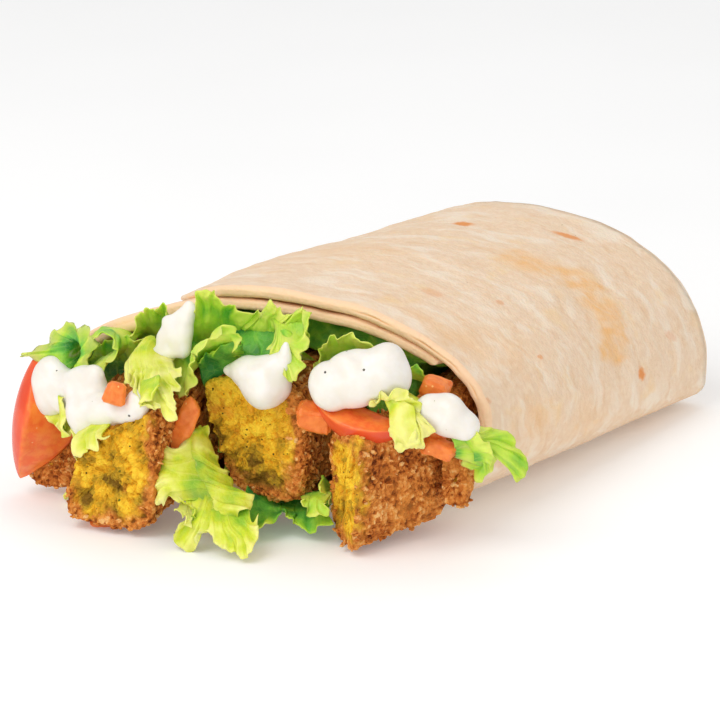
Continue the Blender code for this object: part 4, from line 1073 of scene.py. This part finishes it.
def evenly(line, count):
    """Points at an even spacing along a smooth curve through the given points, and its length."""
    fine = [along(line, i / CURVE_STEPS) for i in range(CURVE_STEPS + 1)]
    gone = [0.0]
    for here, after in zip(fine, fine[1:]):
        gone.append(gone[-1] + (after - here).length)
    kept, k = [], 0
    for i in range(count + 1):
        goal = gone[-1] * i / count
        while k < CURVE_STEPS - 1 and gone[k + 1] < goal:
            k += 1
        kept.append(fine[k].lerp(fine[k + 1], (goal - gone[k]) / max(1e-6, gone[k + 1] - gone[k])))
    return kept, gone[-1]


FRILL_HEIGHT, FRILL_LENGTHS = 0.6, (4.6, 1.9)
FOLD_SIZE, CRIMP_SIZE = 6.0, 2.8
LEAF_SPACING = 0.30, 0.36  # of its points, along the rim and across


def frilly_leaf(root, middle, rim, green, seed, buckle=1.6):
    """Thin leaf from a hidden root line, over a middle line, to a lobed rim, buckled into soft folds."""
    rim_length = evenly(rim, 10)[1]
    reach = (along(rim, 0.5) - along(root, 0.5)).length
    columns, rows = max(24, int(rim_length / LEAF_SPACING[0])), max(18, int(reach / LEAF_SPACING[1]))
    (roots, _), (middles, _), (rims, _) = (evenly(line, columns) for line in (root, middle, rim))
    window = max(2, columns // 9)
    start = Vector((seed * 7.1, seed * 3.3, 0))
    front, rears, leaf_tone_and_shade, vein = [], [], [], []
    for j in range(rows + 1):
        for i in range(columns + 1):
            u, v = i / columns, j / rows
            s = u * rim_length
            a, b, c = roots[i], middles[i], rims[i]
            torn = 0.7 * noise.noise(Vector((s / 2.6, seed, 0)))
            torn += 0.15 * noise.noise(Vector((s / 0.8, seed, 5)))
            w = v + ease((v - 0.75) / 0.25) * torn / max(reach, 5.0)
            point = a * ((1 - w) * (1 - 2 * w)) + b * (4 * w * (1 - w)) + c * (w * (2 * w - 1))
            tangent = rims[min(i + window, columns)] - rims[max(i - window, 0)]
            normal = (c - a).cross(tangent).normalized()
            if normal.y > 0:
                normal = -normal
            at = point + start
            fold = noise.noise_vector(at / FOLD_SIZE)
            crimp = noise.noise_vector(at / CRIMP_SIZE)
            point += Vector((0.5 * fold.x, fold.y, 0.5 * fold.z)) * (buckle * ease(v * 1.6))
            point += Vector((0.5 * crimp.x, crimp.y, 0.5 * crimp.z)) * (0.6 * buckle * v ** 2)
            phase = s + 2.2 * noise.noise(Vector((s / 4.0, v * 2.0, seed + 9.0)))
            long_wave, short_wave = (math.sin(2 * math.pi * phase / length) for length in FRILL_LENGTHS)
            wave = long_wave + 0.35 * short_wave
            ridge = ease(1 - abs(noise.noise(Vector((s / 5.0, v * 1.2, seed + 4.0)))) / 0.05) * (1 - v) * 0.7
            point += normal * (FRILL_HEIGHT * wave * v ** 3 + 0.10 * rough(at, 1.2) + 0.22 * ridge)
            thin = LEAF_THICKNESS / 2 * (1 - 0.5 * v ** 6)
            front.append(point + normal * thin)
            rears.append(point - normal * thin)
            # Painted shade and light: darker in the hollows of the folds and crimps, lighter on the frills'
            # crests; paler at the very rim.
            shade = -0.45 * fold.y - 0.30 * crimp.y + 0.14 * wave * v ** 3 + 0.18 * ease((v - 0.9) / 0.1)
            leaf_tone_and_shade.append(float(mix(green[0], green[1], v ** 1.2) + shade))
            vein.append(float(ridge))
    count = columns + 1
    faces = ring_faces(0, count, rows + 1, closed=False)
    size = len(front)
    faces += [tuple(size + i for i in reversed(face)) for face in faces]
    edge = ([j * count for j in range(rows + 1)] + [rows * count + i for i in range(1, count)]
            + [j * count + columns for j in reversed(range(rows))] + list(reversed(range(1, columns))))
    for i, here in enumerate(edge):
        after = edge[(i + 1) % len(edge)]
        faces.append((here, after, size + after, size + here))
    return front + rears, faces, {"leaf_tone_and_shade": leaf_tone_and_shade + leaf_tone_and_shade, "rib": vein + vein}


def lettuce_finish(name, dark, green, lime, pale, rib):
    """Leaf green that runs from dark, painted shade in the hollows, to lime and pale at the rim."""
    finish, tree, shader = new_finish(
        name, Roughness=0.42, Specular_IOR_Level=0.3, Subsurface_Weight=0.35,
        Subsurface_Radius=(0.6, 1.0, 0.15), Subsurface_Scale=0.0015)
    place = in_millimetres(tree)
    leaf_tone_and_shade = sum_up(tree, "SUBTRACT", painted(tree, "leaf_tone_and_shade"), 0.25)
    ramp = add_node(tree, "ShaderNodeValToRGB", {
        0: times_plus(tree, cloudy(tree, place, 0.45, 4.0).outputs[0], 0.5, leaf_tone_and_shade)})
    set_ramp(ramp, (0.0, *dark), (0.32, *green), (0.62, *lime), (1.0, *pale))
    colour = blend(tree, part_of(tree, painted(tree, "rib"), 0.75), ramp.outputs[0], rgb(*rib))
    distance = add_node(tree, "ShaderNodeTexVoronoi", {"Vector": place, "Scale": 0.9},
                        feature="DISTANCE_TO_EDGE").outputs["Distance"]
    net = add_node(tree, "ShaderNodeMapRange", {"Value": distance, "From Max": 0.06, "To Min": 0.16,
                                                "To Max": 0.0}).outputs[0]
    paint(tree, shader, blend(tree, net, colour, rgb(*rib)))
    raise_grain(tree, shader, distance, 0.35, 0.35)
    return finish


green_leaf = lettuce_finish("green_lettuce", (0.030, 0.22, 0.034), (0.15, 0.46, 0.050), (0.46, 0.72, 0.055),
                            (0.68, 0.80, 0.13), (0.55, 0.76, 0.15))
pale_leaf = lettuce_finish("pale_lettuce", (0.06, 0.28, 0.03), (0.28, 0.53, 0.035), (0.62, 0.72, 0.035),
                           (0.88, 0.90, 0.24), (0.80, 0.84, 0.20))

for seed, (name, how) in enumerate(LEAVES.items()):
    node = STANDS_FOR.get(name, name)
    slot, finish = ("pale_lettuce", pale_leaf) if node in PALE_LEAVES else ("lettuce", green_leaf)
    points, faces, carried = frilly_leaf(seed=seed, **how)
    set_down(node, name + "_frilly", finish, points, faces, carried)


def settle(piece):
    """Turns the piece's modifiers into its mesh."""
    graph = bpy.context.evaluated_depsgraph_get()
    data = bpy.data.meshes.new_from_object(piece.evaluated_get(graph))
    piece.modifiers.clear()
    piece.data = data


def remeshed(source, voxel, softening):
    """Points in millimetres and faces of a mesh, remade at an even spacing and smoothed."""
    piece = bpy.data.objects.new("remesh", source)
    scene.collection.objects.link(piece)
    skin = piece.modifiers.new("even", "REMESH")
    skin.mode = "VOXEL"
    skin.voxel_size = voxel
    soft = piece.modifiers.new("soften", "SMOOTH")
    soft.factor = 0.5
    soft.iterations = softening
    settle(piece)
    points = [v.co.copy() for v in piece.data.vertices]
    normals = [v.normal.copy() for v in piece.data.vertices]
    faces = [tuple(p.vertices) for p in piece.data.polygons]
    bpy.data.objects.remove(piece, do_unlink=True)
    return points, normals, faces


BED_FOLD_HEIGHT, BED_SEEN_TO = 1.1, 34.0  # the bed is folded as far back as it shows
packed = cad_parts["lettuce_bed"].data.copy()
packed.transform(Matrix.Translation(REST_POINT) @ Matrix.Scale(1000.0, 4))
points, normals, faces = remeshed(packed, 1.0, 1)
leaf_tone_and_shade, torn = [], []
for point, normal in zip(points, normals):
    fold = 1.0 - 2.0 * abs(noise.noise(Vector((point.x / 4.0, point.y / 9.0, point.z / 3.0))))
    showing = ease((BED_SEEN_TO - point.y) / 12.0)
    torn.append(point + normal * (BED_FOLD_HEIGHT * fold - 0.9) * showing)
    # Painted shade: the bed is darker in the troughs of its folds, lighter on their crests.
    leaf_tone_and_shade.append(0.15 + 0.3 * max(fold, 0.0))
set_down("lettuce_bed", "lettuce_bed_packed", green_leaf, torn, faces,
         {"leaf_tone_and_shade": leaf_tone_and_shade, "rib": [0.0] * len(leaf_tone_and_shade)})

# ---------------------------------------------------------------- tomato
# Two wedges of ripe tomato. The smooth red skin is on the outside; the cut faces are wet orange-red flesh.

WEDGES = {
    "tomato_left": dict(start=(-47.6, -15.5, 2.8), end=(-42.4, -13.6, 30.5), bulge=(-0.86, -0.50, 0),
                        radius=6.2, opening=110.0, bow=(4.8, -2.4, 1.2), core=1.15),
    "tomato_right": dict(start=(16.0, -9.5, 30.0), end=(38.5, -10.5, 25.5), bulge=(0.15, -0.60, -0.80),
                         radius=6.3, opening=80.0, bow=(0, 0, -0.6), core=0.12),
}
WEDGE_RINGS, WEDGE_ARC, WEDGE_CUT = 48, 30, 14  # points from tip to tip, over the skin and over a cut face


def tomato_wedge(start, end, bulge, radius, opening, bow, core):
    """Wedge between two tips: bow bends it sideways, and core is how far behind the skin its edge lies."""
    start, end = Vector(start), Vector(end)
    axis = (end - start).normalized()
    out = (Vector(bulge) - axis * axis.dot(Vector(bulge))).normalized()
    side = axis.cross(out)
    half_length = (end - start).length / 2
    points, skin = [], []

    def cut_face(first, last, steps):
        """Points of a cut face between two corners, made a little uneven."""
        for i in steps:
            point = first.lerp(last, i / WEDGE_CUT)
            points.append(point + side * (0.45 * rough(point, 3.0) + 0.12 * rough(point, 0.9)))
            skin.append(0.0)

    for k in range(1, WEDGE_RINGS):
        t = math.pi * k / WEDGE_RINGS
        full = math.sin(math.pi * (0.5 - 0.5 * math.cos(t)))
        centre = (start + end) / 2 - axis * (half_length * math.cos(t)) + Vector(bow) * full
        reach = radius * full ** 0.8
        edge = centre - out * (core * radius * full ** 0.8)
        arc = []
        for i in range(WEDGE_ARC):
            angle = math.radians(opening) * (i / (WEDGE_ARC - 1) - 0.5)
            arc.append(centre + (out * math.cos(angle) + side * math.sin(angle)) * reach)
        cut_face(edge, arc[0], range(WEDGE_CUT))
        points += arc
        skin += [ease((0.5 + min(i, WEDGE_ARC - 1 - i)) / 3.0) for i in range(WEDGE_ARC)]
        cut_face(arc[-1], edge, range(1, WEDGE_CUT))
    count = 2 * WEDGE_CUT + WEDGE_ARC - 1
    faces = ring_faces(0, count, WEDGE_RINGS - 1)
    for row, tip in ((0, start), (WEDGE_RINGS - 2, end)):
        faces += tip_fan(points, row * count, count, tip)
    return points, faces, {"skin": skin + [1.0, 1.0]}


ripe_tomato, tree, shader = new_finish(
    "ripe_tomato", Roughness=0.26, Specular_IOR_Level=0.4, Subsurface_Weight=0.15,
    Subsurface_Radius=(1.0, 0.25, 0.1), Subsurface_Scale=0.002, Coat_Weight=0.06, Coat_Roughness=0.12)
place = in_millimetres(tree)
flesh = blend(tree, patchy(tree, place, 2.2, 0.35, 0.65, 4.0), rgb(0.93, 0.16, 0.033), rgb(0.98, 0.26, 0.045))
flesh = blend(tree, speckled(tree, place, 1.9, 0.16, 0.30), flesh, rgb(0.96, 0.45, 0.18))
skin = blend(tree, patchy(tree, place, 6.0, 0.35, 0.7, 2.0), rgb(0.74, 0.070, 0.020), rgb(0.82, 0.105, 0.028))
paint(tree, shader, blend(tree, painted(tree, "skin"), flesh, skin))
raise_grain(tree, shader, patchy(tree, place, 0.8, 0.2, 0.8, 4.0), 0.12, 0.3)

for name, how in WEDGES.items():
    points, faces, carried = tomato_wedge(**how)
    set_down(name, name + "_cut", ripe_tomato, points, faces, carried)

# ---------------------------------------------------------------- carrot
# Thick slices of carrot, cut unevenly. The flat faces are bright orange and a little fibrous.

CHIPS = {  # centre, size, degrees turned about X, Y and Z, seed
    "carrot_in_sauce": ((-16.1, -28.4, 29.0), (3.7, 3.0, 4.2), (-15, 20, 30), 3),
    "carrot_upright": ((-8.0, -18.5, 19.6), (4.1, 3.0, 14.0), (-4, 26, 14), 5),
    "carrot_between": ((18.3, -11.0, 25.0), (7.0, 6.0, 4.4), (18, 14, 25), 7),
    "carrot_back_right": ((38.3, -1.0, 31.2), (5.5, 4.5, 3.2), (5, 18, 20), 9),
    "carrot_under_sauce": ((40.5, -7.0, 25.2), (7.5, 3.0, 3.0), (10, 35, 10), 11),
    "carrot_low_right": ((43.0, -8.0, 21.2), (6.0, 3.0, 3.8), (10, 18, 15), 13),
    "carrot_under_left": ((-22.5, -24.5, 0.9), (4.6, 3.4, 1.5), (0, 0, 20), 15),
}
UNEVEN_CUT, WORN_EDGE = 0.13, 0.14  # shares of the chip's size


def carrot_chip(centre, size, turn, seed):
    """Points and faces of a block cut a little out of square, with worn edges and an uneven surface."""
    draw = random.Random(seed)
    mesh = bmesh.new()
    bmesh.ops.create_cube(mesh, size=1.0)
    for vert in mesh.verts:
        vert.co = Vector(c * s for c, s in zip(vert.co, size))
        vert.co += Vector(draw.uniform(-UNEVEN_CUT, UNEVEN_CUT) * s for s in size)
    bmesh.ops.bevel(mesh, geom=mesh.edges, offset=WORN_EDGE * min(size), segments=2, affect="EDGES")
    about_x, about_y, about_z = (Matrix.Rotation(math.radians(t), 4, axis) for t, axis in zip(turn, "XYZ"))
    turned = Matrix.Translation(centre) @ about_z @ about_y @ about_x
    bmesh.ops.transform(mesh, matrix=turned, verts=mesh.verts)
    points, normals, faces = remeshed(take_mesh(mesh, "chip"), 0.24, 2)
    return [p + n * (0.18 * rough(p, 1.6) + 0.45 * rough(p, 3.4)) for p, n in zip(points, normals)], faces


cut_carrot, tree, shader = new_finish(
    "cut_carrot", Roughness=0.42, Specular_IOR_Level=0.4, Subsurface_Weight=0.2,
    Subsurface_Radius=(1.0, 0.4, 0.1), Subsurface_Scale=0.002)
place = in_millimetres(tree)
fibres = patchy(tree, place, 1.4, 0.3, 0.7, 5.0)
colour = blend(tree, fibres, rgb(0.80, 0.175, 0.025), rgb(0.93, 0.27, 0.050))
colour = blend(tree, speckled(tree, place, 1.3, 0.2, 0.25), colour, rgb(0.98, 0.50, 0.16))
paint(tree, shader, colour)
raise_grain(tree, shader, fibres, 0.25, 0.3)

for name, how in CHIPS.items():
    points, faces = carrot_chip(*how)
    set_down(name, name + "_cut", cut_carrot, points, faces)

# ---------------------------------------------------------------- dressing
# Thick white dressing with a little pepper, spooned over the filling. It lies in soft glossy drops and drips,
# and its lumps run into each other.

POURS = {  # round lumps that run together: centre and half sizes
    "sauce_left": [
        ((-37.6, -18.0, 24.6), (4.6, 3.4, 6.0)), ((-38.2, -18.0, 21.8), (3.6, 3.2, 3.8)),
        ((-32.5, -19.5, 25.2), (5.0, 2.6, 3.4)), ((-27.8, -21.0, 26.4), (4.8, 2.8, 4.4)),
        ((-25.2, -21.6, 29.6), (2.1, 1.7, 2.0)), ((-34.0, -20.2, 22.5), (3.4, 1.8, 2.6)),
        ((-26.5, -22.4, 21.8), (4.6, 3.2, 5.6)), ((-21.5, -23.8, 23.2), (4.6, 3.0, 3.4)),
        ((-16.5, -25.4, 24.4), (4.6, 2.4, 2.5)), ((-12.9, -25.9, 26.6), (2.5, 1.9, 3.2))],
    "sauce_drip": [
        ((-9.8, -11.6, 42.6), (1.5, 1.3, 1.6)), ((-10.9, -12.0, 40.6), (2.5, 1.7, 1.9)),
        ((-14.0, -12.4, 39.6), (1.9, 1.3, 1.3)), ((-11.2, -12.8, 37.6), (2.7, 2.0, 2.8)),
        ((-14.6, -12.9, 36.0), (2.0, 1.5, 2.6)), ((-10.4, -13.2, 34.6), (2.0, 1.6, 2.0)),
        ((-14.4, -13.3, 33.2), (2.7, 1.5, 1.5)), ((-17.4, -13.6, 32.6), (2.2, 1.3, 1.2))],
    "sauce_centre": [
        ((8.0, -13.2, 30.4), (5.0, 4.4, 4.9)), ((8.4, -12.6, 33.0), (4.6, 3.2, 2.9)),
        ((4.4, -12.8, 32.0), (4.0, 3.6, 3.0)), ((0.9, -12.6, 31.8), (2.6, 2.0, 1.3)),
        ((11.0, -12.2, 33.8), (2.6, 2.2, 3.0)), ((12.4, -13.0, 36.4), (1.3, 1.1, 3.0)),
        ((12.6, -13.0, 38.4), (1.0, 0.9, 1.6))],
    "sauce_right": [
        ((22.4, -12.8, 32.0), (4.4, 3.8, 5.0)), ((27.6, -10.6, 36.4), (4.4, 3.0, 3.2)),
        ((25.4, -12.2, 36.2), (3.6, 3.0, 2.8)), ((26.5, -12.0, 33.4), (5.2, 4.0, 5.2)),
        ((30.8, -10.2, 35.0), (4.6, 3.8, 4.8)), ((32.0, -8.6, 37.6), (3.8, 3.2, 3.0)),
        ((33.6, -8.4, 34.6), (3.0, 3.0, 4.2))],
    "sauce_far_right": [
        ((41.0, -7.4, 28.6), (3.4, 2.8, 3.4)), ((44.4, -7.6, 28.2), (4.2, 3.0, 4.2)),
        ((47.4, -6.6, 26.4), (3.2, 2.6, 3.0))],
}
LUMP_DETAIL, SAUCE_SOFTENING = 4, 60


def poured(blobs):
    """Points and faces of lumps run together into one drop."""
    mesh = bmesh.new()
    for centre, radii in blobs:
        place = Matrix.Translation(centre) @ Matrix.Diagonal((*radii, 1.0))
        bmesh.ops.create_icosphere(mesh, subdivisions=LUMP_DETAIL, radius=1.0, matrix=place)
    points, normals, faces = remeshed(take_mesh(mesh, "pour"), 0.40, SAUCE_SOFTENING)
    return [p + n * (0.30 + 0.40 * rough(p, 5.0) + 0.10 * rough(p, 2.0))
            for p, n in zip(points, normals)], faces


white_sauce, tree, shader = new_finish(
    "white_sauce", Roughness=0.28, Specular_IOR_Level=0.5, Subsurface_Weight=0.35,
    Subsurface_Radius=(1.0, 0.85, 0.6), Subsurface_Scale=0.002)
place = in_millimetres(tree)
thin = patchy(tree, place, 3.5, 0.35, 0.7, 3.0)
colour = blend(tree, thin, rgb(0.82, 0.775, 0.70), rgb(0.87, 0.835, 0.785))
colour = blend(tree, speckled(tree, place, 2.6, 0.26, 0.16), colour, rgb(0.10, 0.09, 0.07))
colour = blend(tree, speckled(tree, place, 1.6, 0.10, 0.15), colour, rgb(0.35, 0.36, 0.22))
paint(tree, shader, colour)
raise_grain(tree, shader, patchy(tree, place, 1.0, 0.2, 0.8, 3.0), 0.06, 0.3)

for name, blobs in POURS.items():
    points, faces = poured(blobs)
    set_down(name, name + "_poured", white_sauce, points, faces)
